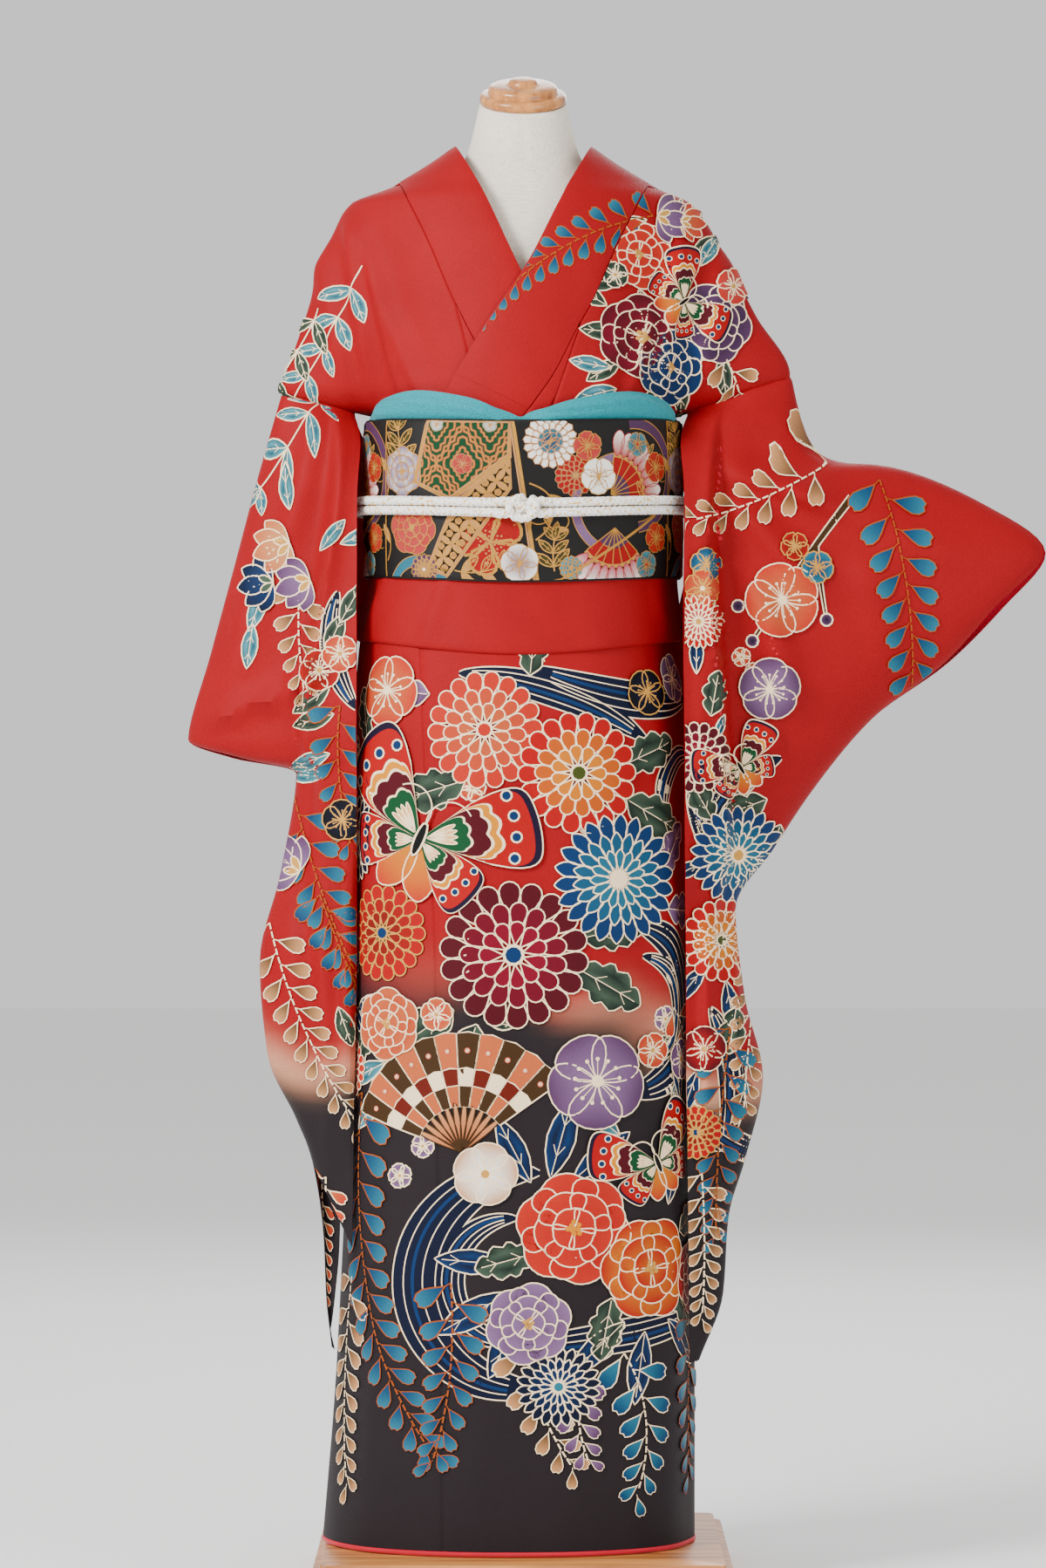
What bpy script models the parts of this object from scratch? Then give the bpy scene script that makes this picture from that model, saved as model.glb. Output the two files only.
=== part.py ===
"""Furisode with its belt, worn on a limbless dress form that stands on a wooden base.

Frame: metres, +Z up, the wearer faces -Y, +X is the wearer's left.  The origin is the
centre of the base's underside.  Angles round the body are measured from the front centre,
positive towards the wearer's left, 180 degrees at the centre of the back.

Every piece worn on the body is a patch of one smooth body surface: a range of angles, a
range of heights and a distance outwards.  Pieces that lie on each other differ in distance,
pieces that are sewn edge to edge stay a seam gap apart.
"""
import math

import bpy
import bmesh
import numpy as np

# Driving sizes
SEAM_GAP = 0.0003
CREPE = 0.0014
COLLAR_WALL = 0.0024
OVER = 0.0042
FOLD_INSIDE = 0.0064
FOLD_WALL = 0.0028
SCARF_INSIDE = 0.0074
SCARF_WALL = 0.0018
OBI_INSIDE = 0.0100
OBI_WALL = 0.0040
BOW_WIDTH = 0.294
BOW_WALL = 0.0032
CORD_RADIUS = 0.0046
CORD_SPACING = 0.0094

BASE_SIDE = 0.400
BASE_THICK = 0.040
BASE_STEP = 0.008
HEM_Z = 0.0455
LINING_ROLL = 0.0026
LINING_TUCK = 0.0004
SKIRT_TOP = 0.985
WAIST_FOLD_BOTTOM = 0.8975
WAIST_FOLD_TOP = 0.998
WAIST_FOLD_RISE = 0.015
OBI_BOTTOM = 0.9665
OBI_TOP = 1.1215
OBI_RISE = 0.0070
CORD_Z = 1.0373
CORD_RISE = 0.0070
BODICE_BOTTOM = 1.050
CAP_TILT = math.radians(21.0)
NECK_TOP = (0.0, -0.004, 1.4375)
NECK_RADIUS = 0.0420
POLE_RADIUS = 0.016
FORM_BOTTOM = 0.620
FOLD_GAP = 0.0012
OVERLAP_GAP = 0.0050
COLLAR_END_WALL = 0.0016
OVER_COLLAR_END = {"inner": 1.1660, "outer": 1.1333}
COLLAR_GAP = 0.0060
YOKE_GAP = 0.0012
FORM_CLEAR = 0.0013
HOLE_ROWS = 7
FORM_SIDES = 28
HALF_ROWS_TO = 9
SLEEVE_COLUMNS = 11
FOLD_SHARE = 0.42
FOLD_STEP = 0.004
LINING = 0.0010
WIDENING_Z = 1.132
SLEEVE_GAP = 0.0011
BACK_YOKE_Z = 1.235
BEHIND_NECK = {"inner": 1.366, "outer": 1.300}

DEG = math.pi / 180.0


def table(columns, rows):
    """Give the rows as one array for each named column."""
    return dict(zip(columns.split(), np.array(rows, float).T))


# Inside of the cloth at each height: half widths of the trunk to the wearer's right and left,
# depths to the front and back, the power of its rounded section (2 is an ellipse), and the
# half widths and depth of the flat wing of cloth that the shoulder fold carries beyond it
BODY = table("z centre right left front back power wing_right wing_left wing_depth", [
    (0.030, -0.0135, 0.1775, 0.1780, 0.1390, 0.1300, 2.30, 0.0100, 0.0100, 0.010),
    (0.227, -0.0080, 0.1675, 0.1700, 0.1340, 0.1260, 2.30, 0.0100, 0.0100, 0.010),
    (0.600, -0.0030, 0.1585, 0.1610, 0.1300, 0.1220, 2.30, 0.0100, 0.0100, 0.010),
    (0.800, -0.0030, 0.1590, 0.1600, 0.1270, 0.1210, 2.25, 0.0100, 0.0100, 0.010),
    (0.900, -0.0030, 0.1525, 0.1505, 0.1240, 0.1200, 2.20, 0.0100, 0.0100, 0.010),
    (0.930, -0.0024, 0.1486, 0.1478, 0.1225, 0.1200, 2.20, 0.0100, 0.0100, 0.010),
    (0.980, 0.0000, 0.1410, 0.1410, 0.1215, 0.1200, 2.20, 0.0100, 0.0100, 0.010),
    (1.131, 0.0000, 0.1410, 0.1410, 0.1215, 0.1200, 2.20, 0.0500, 0.0500, 0.020),
    (1.138, 0.0000, 0.1415, 0.1415, 0.1222, 0.1205, 2.15, 0.1780, 0.1800, 0.036),
    (1.147, 0.0000, 0.1420, 0.1420, 0.1225, 0.1210, 2.10, 0.2170, 0.2230, 0.044),
    (1.159, 0.0000, 0.1430, 0.1430, 0.1220, 0.1215, 2.05, 0.2365, 0.2520, 0.050),
    (1.173, 0.0000, 0.1440, 0.1440, 0.1210, 0.1220, 2.00, 0.2310, 0.2600, 0.054),
    (1.230, 0.0000, 0.1480, 0.1480, 0.1140, 0.1240, 2.00, 0.2100, 0.2265, 0.064),
    (1.297, 0.0000, 0.1500, 0.1500, 0.1010, 0.1240, 2.00, 0.1850, 0.1870, 0.070),
    (1.339, 0.0000, 0.1420, 0.1400, 0.0860, 0.1200, 2.00, 0.1600, 0.1560, 0.066),
    (1.357, 0.0000, 0.1170, 0.1170, 0.0760, 0.1180, 2.00, 0.1060, 0.1060, 0.050),
    (1.394, 0.0000, 0.0660, 0.0660, 0.0600, 0.1120, 2.00, 0.0400, 0.0400, 0.030),
    (1.410, 0.0000, 0.0520, 0.0520, 0.0540, 0.1100, 2.00, 0.0300, 0.0300, 0.020)])
WING_POWER = 1.6
BLEND_POWER = 8.0

# The drum bow's profile: how far behind the obi's back, and the height
BOW = table("behind z", [
    (0.0006, 1.1000), (0.0010, 1.1280), (0.0100, 1.1660), (0.0450, 1.1880), (0.0780, 1.1760),
    (0.0980, 1.1350), (0.1040, 1.0700), (0.1040, 0.9900), (0.0960, 0.9300), (0.0740, 0.9050),
    (0.0440, 0.9100), (0.0200, 0.9400), (0.0080, 0.9800), (0.0020, 1.0160)])

# The dress form's sections, elliptical
FORM = table("z half_width front back", [
    (FORM_BOTTOM, 0.128, 0.100, 0.098),
    (0.700, 0.140, 0.110, 0.108),
    (0.860, 0.142, 0.114, 0.110),
    (1.230, 0.137, 0.096, 0.096),
    (1.300, 0.138, 0.082, 0.086),
    (1.328, 0.126, 0.070, 0.076),
    (1.346, 0.098, 0.061, 0.066),
    (1.364, 0.070, 0.055, 0.059),
    (1.390, 0.0540, 0.0530, 0.0530),
    (1.420, 0.0460, 0.0465, 0.0455)])

# The turned cap on the neck
CAP = table("radius height", [
    (0.0380, 0.0003), (0.0415, 0.0012), (0.0425, 0.0050), (0.0415, 0.0088), (0.0375, 0.0105),
    (0.0340, 0.0108), (0.0335, 0.0150), (0.0315, 0.0176), (0.0260, 0.0190), (0.0160, 0.0196),
    (0.0138, 0.0205), (0.0125, 0.0235), (0.0070, 0.0250)])

# Front edges of the collar strip, seen from the front: the wearer's right side
RIGHT_COLLAR = table("z_inner x_inner z_outer x_outer", [
    (1.3935, -0.0646, 1.3565, -0.1192),
    (1.3420, -0.0370, 1.2980, -0.0905),
    (1.2950, -0.0155, 1.2413, -0.0667),
    (1.2660, -0.0020, 1.2050, -0.0490),
    (1.2050, 0.0290, 1.1600, -0.0240),
    (1.1500, 0.0480, 1.1050, 0.0030)])

# The same on the wearer's left side, which lies on top
LEFT_COLLAR = table("z_inner x_inner z_outer x_outer", [
    (1.3935, 0.0655, 1.3540, 0.1204),
    (1.3300, 0.0330, 1.2900, 0.0880),
    (1.2720, 0.0040, 1.2380, 0.0650),
    (1.2160, -0.0332, 1.2110, 0.0505),
    (1.1800, -0.0545, 1.1640, 0.0270),
    (1.1455, -0.0730, 1.1300, 0.0030),
    (1.1000, -0.0900, 1.0950, -0.0200)])

# Seams between the fronts and their overlap panels above the waist, from the tip down
OVERLAP_SEAM = {
    "right": table("z x", [(1.2388, -0.0651), (1.1866, -0.0519), (1.0500, -0.0174)]),
    "left": table("z x", [(1.2146, 0.0536), (1.1348, 0.0272), (1.0500, -0.0009)])}

# Where a sleeve is sewn to the body, from the shoulder fold to the armpit
ARMHOLE = {
    "right": {"x": (-0.2360, -0.1640), "z": (1.1550, 1.1370)},
    "left": {"x": (0.2600, 0.1600), "z": (1.1700, 1.1370)}}

# Sleeve sheets as rows from the sleeve seam down: the edge beside the body, the outer edge,
# the depth of both edges, half the opening between the layers inside and at the outer edge,
# the front fold's edge and how far it stands forward, and how much further out and further
# back the back layer's edge beside the body lies
RIGHT_SLEEVE = table("in_x in_z out_x out_z in_y out_y gape cuff fold_x fold_out back_x back_y", [
    (-0.1640, 1.1355, -0.2360, 1.1535, 0.000, 0.000, 0.028, 0.000, -0.184, 0.003, 0.004, 0.010),
    (-0.1600, 1.0700, -0.2590, 1.0725, -0.022, 0.002, 0.030, 0.000, -0.182, 0.012, -0.004, 0.054),
    (-0.1600, 0.9890, -0.2815, 0.9880, -0.026, 0.004, 0.030, 0.000, -0.192, 0.016, -0.004, 0.058),
    (-0.1600, 0.9050, -0.3045, 0.9030, -0.028, 0.006, 0.030, 0.000, -0.206, 0.020, 0.008, 0.034),
    (-0.1600, 0.8260, -0.3265, 0.8185, -0.030, 0.008, 0.030, 0.001, -0.216, 0.022, 0.013, 0.010),
    (-0.1600, 0.8060, -0.2740, 0.8000, -0.030, 0.000, 0.029, 0.015, -0.214, 0.021, 0.013, 0.008),
    (-0.1600, 0.7850, -0.2200, 0.7850, -0.030, -0.012, 0.028, 0.001, -0.200, 0.018, 0.013, 0.004),
    (-0.1600, 0.6900, -0.2360, 0.6880, -0.032, -0.014, 0.028, 0.000, -0.205, 0.006, 0.013, 0.000),
    (-0.1600, 0.6050, -0.2560, 0.6020, -0.036, -0.016, 0.028, 0.000, -0.210, 0.000, 0.013, 0.000),
    (-0.1615, 0.5150, -0.2480, 0.5110, -0.040, -0.020, 0.026, 0.000, -0.205, 0.000, 0.013, 0.000),
    (-0.1630, 0.4400, -0.2210, 0.4520, -0.046, -0.026, 0.024, 0.000, -0.190, 0.000, 0.013, 0.000),
    (-0.1645, 0.3300, -0.2045, 0.4104, -0.060, -0.036, 0.018, 0.000, -0.180, 0.000, 0.013, 0.000),
    (-0.1680, 0.2850, -0.1930, 0.3400, -0.066, -0.048, 0.012, 0.000, -0.180, 0.000, 0.013, 0.000),
    (-0.1715, 0.2550, -0.1900, 0.2800, -0.068, -0.058, 0.009, 0.000, -0.180, 0.000, 0.013, 0.000),
    (-0.1770, 0.2300, -0.1845, 0.2320, -0.068, -0.063, 0.006, 0.000, -0.180, 0.000, 0.013, 0.000)])
RIGHT_FRONT_ROWS = 12

LEFT_SLEEVE = table("in_x in_z out_x out_z in_y out_y gape cuff fold_x fold_out back_x back_y", [
    (0.1600, 1.1355, 0.2600, 1.1685, 0.000, 0.000, 0.028, 0.000, 0.190, 0.003, 0.006, 0.010),
    (0.1550, 1.0800, 0.2880, 1.0890, -0.030, 0.000, 0.030, 0.000, 0.186, 0.020, 0.002, 0.062),
    (0.1548, 1.0400, 0.3440, 1.0860, -0.034, 0.000, 0.030, 0.000, 0.184, 0.026, 0.008, 0.050),
    (0.1542, 0.9950, 0.4520, 1.0460, -0.036, 0.000, 0.030, 0.000, 0.184, 0.030, 0.012, 0.040),
    (0.1536, 0.9500, 0.5070, 1.0000, -0.038, -0.004, 0.030, 0.004, 0.186, 0.032, 0.004, 0.050),
    (0.1536, 0.9250, 0.4590, 0.9470, -0.039, -0.004, 0.030, 0.015, 0.188, 0.033, 0.000, 0.056),
    (0.1536, 0.9000, 0.4110, 0.8930, -0.040, -0.004, 0.030, 0.006, 0.190, 0.034, -0.002, 0.060),
    (0.1542, 0.8500, 0.3400, 0.8380, -0.042, -0.004, 0.030, 0.000, 0.194, 0.034, 0.000, 0.056),
    (0.1546, 0.7900, 0.2840, 0.7710, -0.044, -0.004, 0.030, 0.000, 0.198, 0.034, 0.009, 0.030),
    (0.1552, 0.7200, 0.2430, 0.7100, -0.046, -0.008, 0.028, 0.000, 0.201, 0.026, 0.013, 0.008),
    (0.1562, 0.6500, 0.2065, 0.6530, -0.048, -0.020, 0.026, 0.000, 0.190, 0.008, 0.014, 0.000),
    (0.1568, 0.5700, 0.2155, 0.5680, -0.050, -0.024, 0.026, 0.000, 0.190, 0.000, 0.015, 0.000),
    (0.1571, 0.4900, 0.2330, 0.4900, -0.052, -0.026, 0.026, 0.000, 0.195, 0.000, 0.015, 0.000),
    (0.1580, 0.4200, 0.2160, 0.4130, -0.054, -0.030, 0.024, 0.000, 0.190, 0.000, 0.015, 0.000),
    (0.1588, 0.3500, 0.1990, 0.3550, -0.058, -0.040, 0.020, 0.000, 0.180, 0.000, 0.015, 0.000),
    (0.1597, 0.2800, 0.1935, 0.2830, -0.062, -0.050, 0.014, 0.000, 0.176, 0.000, 0.015, 0.000),
    (0.1607, 0.2180, 0.1700, 0.2200, -0.066, -0.062, 0.006, 0.000, 0.167, 0.000, 0.015, 0.000)])
CUFF_BULGE = 0.70
CUFF_LINING_ROWS = (8, 13)


def smooth(knots, values, at):
    """Read a cubic curve that passes through the knots without overshooting them."""
    order = np.argsort(knots)
    knot, value = np.asarray(knots, float)[order], np.asarray(values, float)[order]
    span = np.diff(knot)
    slope = np.diff(value) / span
    tangent = np.concatenate([slope[:1], np.zeros(len(knot) - 2), slope[-1:]])
    same = slope[:-1] * slope[1:] > 0
    total = np.where(same, slope[:-1] + slope[1:], 1.0)
    tangent[1:-1] = np.where(same, 2.0 * slope[:-1] * slope[1:] / total, 0.0)
    at = np.clip(at, knot[0], knot[-1])
    i = np.clip(np.searchsorted(knot, at, side="right") - 1, 0, len(knot) - 2)
    f = (at - knot[i]) / span[i]
    g = 1.0 - f
    return (value[i] * g * g * (1.0 + 2.0 * f) + value[i + 1] * f * f * (3.0 - 2.0 * f)
            + span[i] * (tangent[i] * f * g * g - tangent[i + 1] * f * f * g))


def ease(value, low, high):
    """Rise smoothly from 0 at low to 1 at high."""
    f = np.clip((value - low) / (high - low), 0.0, 1.0)
    return f * f * (3.0 - 2.0 * f)


def body(angle, z):
    """Point of the body surface at an angle and a height.

    The trunk's radius is that of a superellipse whose two half axes are the half width on
    that side and the depth to the front or back.  The wing is a flatter one, and a high
    power mean of the two follows whichever reaches further.
    """
    sine, cosine = np.sin(angle), np.cos(angle)
    width = np.where(sine < 0, smooth(BODY["z"], BODY["right"], z),
                     smooth(BODY["z"], BODY["left"], z))
    depth = np.where(cosine > 0, smooth(BODY["z"], BODY["front"], z),
                     smooth(BODY["z"], BODY["back"], z))
    power = smooth(BODY["z"], BODY["power"], z)
    trunk = ((np.abs(sine) / width) ** power + (np.abs(cosine) / depth) ** power) ** (-1 / power)
    reach = np.where(sine < 0, smooth(BODY["z"], BODY["wing_right"], z),
                     smooth(BODY["z"], BODY["wing_left"], z))
    flat = smooth(BODY["z"], BODY["wing_depth"], z)
    wing = ((np.abs(sine) / reach) ** WING_POWER
            + (np.abs(cosine) / flat) ** WING_POWER) ** (-1 / WING_POWER)
    radius = (trunk ** BLEND_POWER + wing ** BLEND_POWER) ** (1 / BLEND_POWER)
    x = smooth(BODY["z"], BODY["centre"], z) + radius * sine
    return np.stack([x, -radius * cosine, z + 0.0 * angle], axis=-1)


def worn(angle, z, out):
    """Point at a distance outwards from the body surface, along its own normal."""
    step_angle, step_z = 0.02, 0.002
    along = body(angle + step_angle, z) - body(angle - step_angle, z)
    up = body(angle, z + step_z) - body(angle, z - step_z)
    normal = np.cross(along, up)
    normal /= np.linalg.norm(normal, axis=-1, keepdims=True)
    return body(angle, z) + normal * np.asarray(out)[..., None]


def angle_at(x, z, front=True):
    """Angle at which the body surface has this x at this height, found by halving."""
    low, high = np.full(np.shape(x), -0.5 * math.pi), np.full(np.shape(x), 0.5 * math.pi)
    for _ in range(40):
        middle = 0.5 * (low + high)
        too_far = body(middle, z)[..., 0] > x
        low, high = np.where(too_far, low, middle), np.where(too_far, middle, high)
    middle = 0.5 * (low + high)
    return middle if front else np.where(middle > 0, math.pi - middle, -math.pi - middle)


def material(name, colour, roughness, metallic=0.0):
    made = bpy.data.materials.new(name)
    made.use_nodes = True
    shader = made.node_tree.nodes["Principled BSDF"]
    shader.inputs["Base Color"].default_value = (*colour, 1.0)
    shader.inputs["Roughness"].default_value = roughness
    shader.inputs["Metallic"].default_value = metallic
    made.diffuse_color = (*colour, 1.0)
    return made


def keep(name, points, faces, finish):
    """Make one closed object from points and faces, with every face pointing outwards."""
    mesh = bpy.data.meshes.new(name)
    mesh.from_pydata([tuple(p) for p in points], [], faces)
    work = bmesh.new()
    work.from_mesh(mesh)
    bmesh.ops.recalc_face_normals(work, faces=work.faces)
    work.to_mesh(mesh)
    work.free()
    mesh.materials.append(finish)
    mesh.shade_smooth()
    mesh.set_sharp_from_angle(angle=40 * DEG)
    made = bpy.data.objects.new(name, mesh)
    bpy.context.scene.collection.objects.link(made)
    return made


def wall(name, inside, outside, finish, ring=False):
    """Close two grids of points, one behind the other, into a solid wall.

    A ring's last column joins its first.  Both faces are split along the same diagonals, so
    that a twisted part of the wall keeps its thickness.
    """
    rows, columns = inside.shape[:2]
    points = np.concatenate([inside.reshape(-1, 3), outside.reshape(-1, 3)])
    back = rows * columns
    faces = []
    spans = columns if ring else columns - 1
    for i in range(rows - 1):
        for j in range(spans):
            k = (j + 1) % columns
            a, b, c, d = (i * columns + j, i * columns + k,
                          (i + 1) * columns + k, (i + 1) * columns + j)
            faces += [(a, b, c), (a, c, d), (back + c, back + b, back + a),
                      (back + d, back + c, back + a)]
    for j in range(spans):
        k = (j + 1) % columns
        for i in (0, rows - 1):
            a, b = i * columns + j, i * columns + k
            faces.append((a, back + a, back + b, b) if i == 0 else (b, back + b, back + a, a))
    if not ring:
        for i in range(rows - 1):
            for j in (0, columns - 1):
                a, b = i * columns + j, (i + 1) * columns + j
                faces.append((b, back + b, back + a, a) if j == 0 else (a, back + a, back + b, b))
    return keep(name, points, faces, finish)


def worn_patch(name, angles, heights, out, thick, finish, ring=False):
    """Wall on the body surface; angles, heights and out are grids or broadcast to one."""
    angles, heights = np.broadcast_arrays(angles, heights)
    out = np.broadcast_to(out, angles.shape)
    return wall(name, worn(angles, heights, out), worn(angles, heights, out + thick),
                finish, ring)


def between(start, end, columns):
    """Columns evenly spaced from one value a row to another."""
    f = np.linspace(0.0, 1.0, columns)
    return np.outer(start, 1.0 - f) + np.outer(end, f)


def stacked_rings(name, rings, finish):
    """Closed solid through rings of points, flat at both ends."""
    rows, columns = rings.shape[:2]
    faces = []
    for i in range(rows - 1):
        for j in range(columns):
            k = (j + 1) % columns
            faces.append((i * columns + j, i * columns + k,
                          (i + 1) * columns + k, (i + 1) * columns + j))
    faces.append(tuple(range(columns))[::-1])
    faces.append(tuple((rows - 1) * columns + j for j in range(columns)))
    return keep(name, rings.reshape(-1, 3), faces, finish)


def lift(angle):
    """Distance out of the front that wraps over: full in the middle, none at its side."""
    return OVER * (1.0 - ease(angle, 30 * DEG, 62 * DEG))


def okumi_angle(z):
    """Seam between the left front and its overlap panel below the waist."""
    x = smooth((0.04, 0.40, 0.63, 0.72, 0.90), (-0.0745, -0.0785, -0.0820, -0.0880, -0.0960), z)
    return angle_at(x, z)


def skirt_lift(angle):
    """The same below the waist, where the upper front reaches further round."""
    return OVER * (1.0 - ease(angle, 52 * DEG, 74 * DEG))


def make_skirt(crepe, lining):
    """Panels below the waist, sewn side by side; the left front wraps over the right."""
    z = np.array((HEM_Z, 0.17, 0.31, 0.45, 0.60, 0.75, 0.84, 0.885, 0.915, 0.945, 0.965, SKIRT_TOP))
    side_left, side_right, half_gap = 88 * DEG, -88 * DEG, 0.5 * SEAM_GAP / 0.15
    seam = okumi_angle(z)
    rows = np.ones_like(z)
    panels = [
        ("skirt_right_front", side_right * rows, -18 * DEG * rows, False, 7),
        ("skirt_right_overlap", -18 * DEG * rows, 38 * DEG * rows, False, 6),
        ("skirt_back_right", -180 * DEG * rows, side_right * rows, False, 8),
        ("skirt_back_left", side_left * rows, 180 * DEG * rows, False, 8),
        ("skirt_left_front", seam, side_left * rows, True, 11),
        ("skirt_left_overlap", -84 * DEG * rows, seam, True, 6)]
    for name, start, end, over, columns in panels:
        angles = between(start + half_gap, end - half_gap, columns)
        distance = skirt_lift(angles) if over else np.zeros(angles.shape)
        worn_patch(name, angles, z[:, None], distance, CREPE, crepe)
    roll_z = np.array([BASE_THICK + SEAM_GAP, HEM_Z - SEAM_GAP])
    for name, start, end, over, columns in (("hem_lining_front", -84, 87.8, True, 22),
                                            ("hem_lining_back", 88.2, 271.5, False, 18)):
        angles = between(np.full(2, start * DEG), np.full(2, end * DEG), columns)
        distance = skirt_lift(angles) if over else np.zeros(angles.shape)
        worn_patch(name, angles, roll_z[:, None], distance - LINING_TUCK, LINING_ROLL, lining)


def rise(angle, amount):
    """Height gained from the front centre to the side, kept round the back."""
    return amount * np.where(np.cos(angle) > 0, np.sin(angle) ** 2, 1.0)


def make_waist_fold(crepe):
    """The length folded up at the waist, which hangs out below the obi as a doubled band."""
    rows = 6
    for name, start, end, columns in (("waist_fold_front", -96, 89.8, 23),
                                      ("waist_fold_back", 90.2, 263.8, 19)):
        angles = between(np.full(rows, start * DEG), np.full(rows, end * DEG), columns)
        f = np.linspace(0.0, 1.0, rows)[:, None]
        bottom = WAIST_FOLD_BOTTOM + rise(angles, WAIST_FOLD_RISE)
        heights = bottom + (WAIST_FOLD_TOP - bottom) * f
        worn_patch(name, angles, heights, FOLD_INSIDE, FOLD_WALL, crepe)


def stations(strip, edge, bottom=None):
    """Heights at which a front edge of the collar is drawn, closer together at the shoulder."""
    top = strip["z_" + edge][0]
    bottom = strip["z_" + edge][-1] if bottom is None else bottom
    middle = top + (bottom - top) * 0.66
    upper = top + (middle - top) * np.linspace(0.0, 1.0, 9) ** 1.5
    return np.concatenate([upper, np.linspace(middle, bottom, 5)[1:]])


def collar_angle(strip, edge, z):
    """Angle of the collar's inner or outer edge in front, at these heights."""
    return angle_at(smooth(strip["z_" + edge], strip["x_" + edge], z), z)


def behind_neck(edge, angle):
    """Height of the collar's inner or outer edge at angles round the back of the neck.

    From the two shoulders it dips to its lowest height at the centre of the back.
    """
    ends = []
    for strip in (RIGHT_COLLAR, LEFT_COLLAR):
        z = strip["z_" + edge][0]
        ends.append((float(angle_at(np.array(strip["x_" + edge][0]), np.array(z))), z))
    (right_angle, right_z), (left_angle, left_z) = ends
    turn = (right_angle + 2 * math.pi - angle) / (right_angle + 2 * math.pi - left_angle)
    dip = np.sin(math.pi * np.clip(turn, 0.0, 1.0)) ** 2
    return (right_z * (1 - turn) + left_z * turn) * (1 - dip) + BEHIND_NECK[edge] * dip


def strip_patch(name, inner, outer, thick, finish):
    """Collar patch between two edges, each given as angles and heights along its length.

    On the wearer's left front it lies on the front that wraps over.
    """
    f = np.linspace(0.0, 1.0, 5)[:, None]
    angles = inner[0] * (1 - f) + outer[0] * f
    heights = inner[1] * (1 - f) + outer[1] * f
    distance = np.where(angles < 0.5 * math.pi, lift(angles), 0.0)
    worn_patch(name, angles, heights, distance, thick, finish)


def make_collar(crepe):
    """The collar: the over-collar from one front round the neck to the other, and below its
    end on the left front the end of the collar itself."""
    edges, ends = [], []
    for edge in ("inner", "outer"):
        stop = OVER_COLLAR_END[edge]
        right_z, left_z = stations(RIGHT_COLLAR, edge), stations(LEFT_COLLAR, edge, stop)
        right = collar_angle(RIGHT_COLLAR, edge, right_z)
        left = collar_angle(LEFT_COLLAR, edge, left_z)
        lower = np.linspace(stop - SEAM_GAP, LEFT_COLLAR["z_" + edge][-1], 4)
        back = np.linspace(right[0] + 2 * math.pi, left[0], 17)[1:-1]
        edges.append((np.concatenate([right[::-1] + 2 * math.pi, back, left]),
                      np.concatenate([right_z[::-1], behind_neck(edge, back), left_z])))
        ends.append((collar_angle(LEFT_COLLAR, edge, lower), lower))
    strip_patch("over_collar", *edges, COLLAR_WALL, crepe)
    strip_patch("collar_left_end", *ends, COLLAR_END_WALL, crepe)


def overlap_seam(side, z):
    """Angle of the seam between a front and its overlap panel above the waist."""
    line = OVERLAP_SEAM[side]
    return angle_at(smooth(line["z"], line["x"], z), z)


def make_bodice(crepe):
    """Fronts and backs above the waist, from the shoulder fold to under the obi."""
    for side, strip in (("right", RIGHT_COLLAR), ("left", LEFT_COLLAR)):
        sign = -1.0 if side == "right" else 1.0
        top_z = strip["z_outer"][0] - 0.002
        hole = ARMHOLE[side]
        yoke = stations(strip, "outer")
        z = np.concatenate([[BODICE_BOTTOM, 1.09, 1.131],
                            np.linspace(hole["z"][1], hole["z"][0], HOLE_ROWS),
                            [hole["z"][0] + 0.015], yoke[(yoke > hole["z"][0] + 0.03)
                                                         & (yoke < top_z)][::-1], [top_z]])
        x_out = np.interp(z, hole["z"][::-1], hole["x"][::-1])
        at_hole = z < hole["z"][0] + 0.0001
        outer = np.where(at_hole, angle_at(x_out, z), sign * 0.5 * math.pi)
        outer = np.where(z < WIDENING_Z, sign * 80 * DEG, outer)
        inner = collar_angle(strip, "outer", z)
        low = OVERLAP_SEAM[side]["z"][0]
        inner = np.where(z < low, overlap_seam(side, z), inner)
        front = between(outer - sign * FOLD_GAP, inner + sign * COLLAR_GAP, 12)
        distance = lift(front) if side == "left" else np.zeros(front.shape)
        worn_patch("bodice_%s_front" % side, front, z[:, None], distance, CREPE, crepe)
        z_tip = np.linspace(low - 0.010, BODICE_BOTTOM, 9)
        outer = overlap_seam(side, z_tip) - sign * OVERLAP_GAP
        inner = collar_angle(strip, "outer", np.maximum(z_tip, strip["z_outer"][-1]))
        tip = between(outer, inner + sign * OVERLAP_GAP, 4)
        distance = lift(tip) if side == "left" else np.zeros(tip.shape)
        worn_patch("overlap_%s_top" % side, tip, z_tip[:, None], distance, CREPE, crepe)
        outer = np.where(at_hole, angle_at(x_out, z, front=False), sign * 0.5 * math.pi)
        outer = np.where(z < WIDENING_Z, sign * 100 * DEG, outer)
        back = between(outer + sign * FOLD_GAP, np.full(len(z), sign * (180 * DEG - 0.001)), 9)
        turned = np.where(back < 0, back + 2 * math.pi, back)
        top = behind_neck("outer", turned) - YOKE_GAP
        share = (z[:, None] - BACK_YOKE_Z) / (top_z - BACK_YOKE_Z)
        heights = np.where(share > 0, BACK_YOKE_Z + (top - BACK_YOKE_Z) * share, z[:, None])
        worn_patch("bodice_%s_back" % side, back, heights, 0.0, CREPE, crepe)


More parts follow.
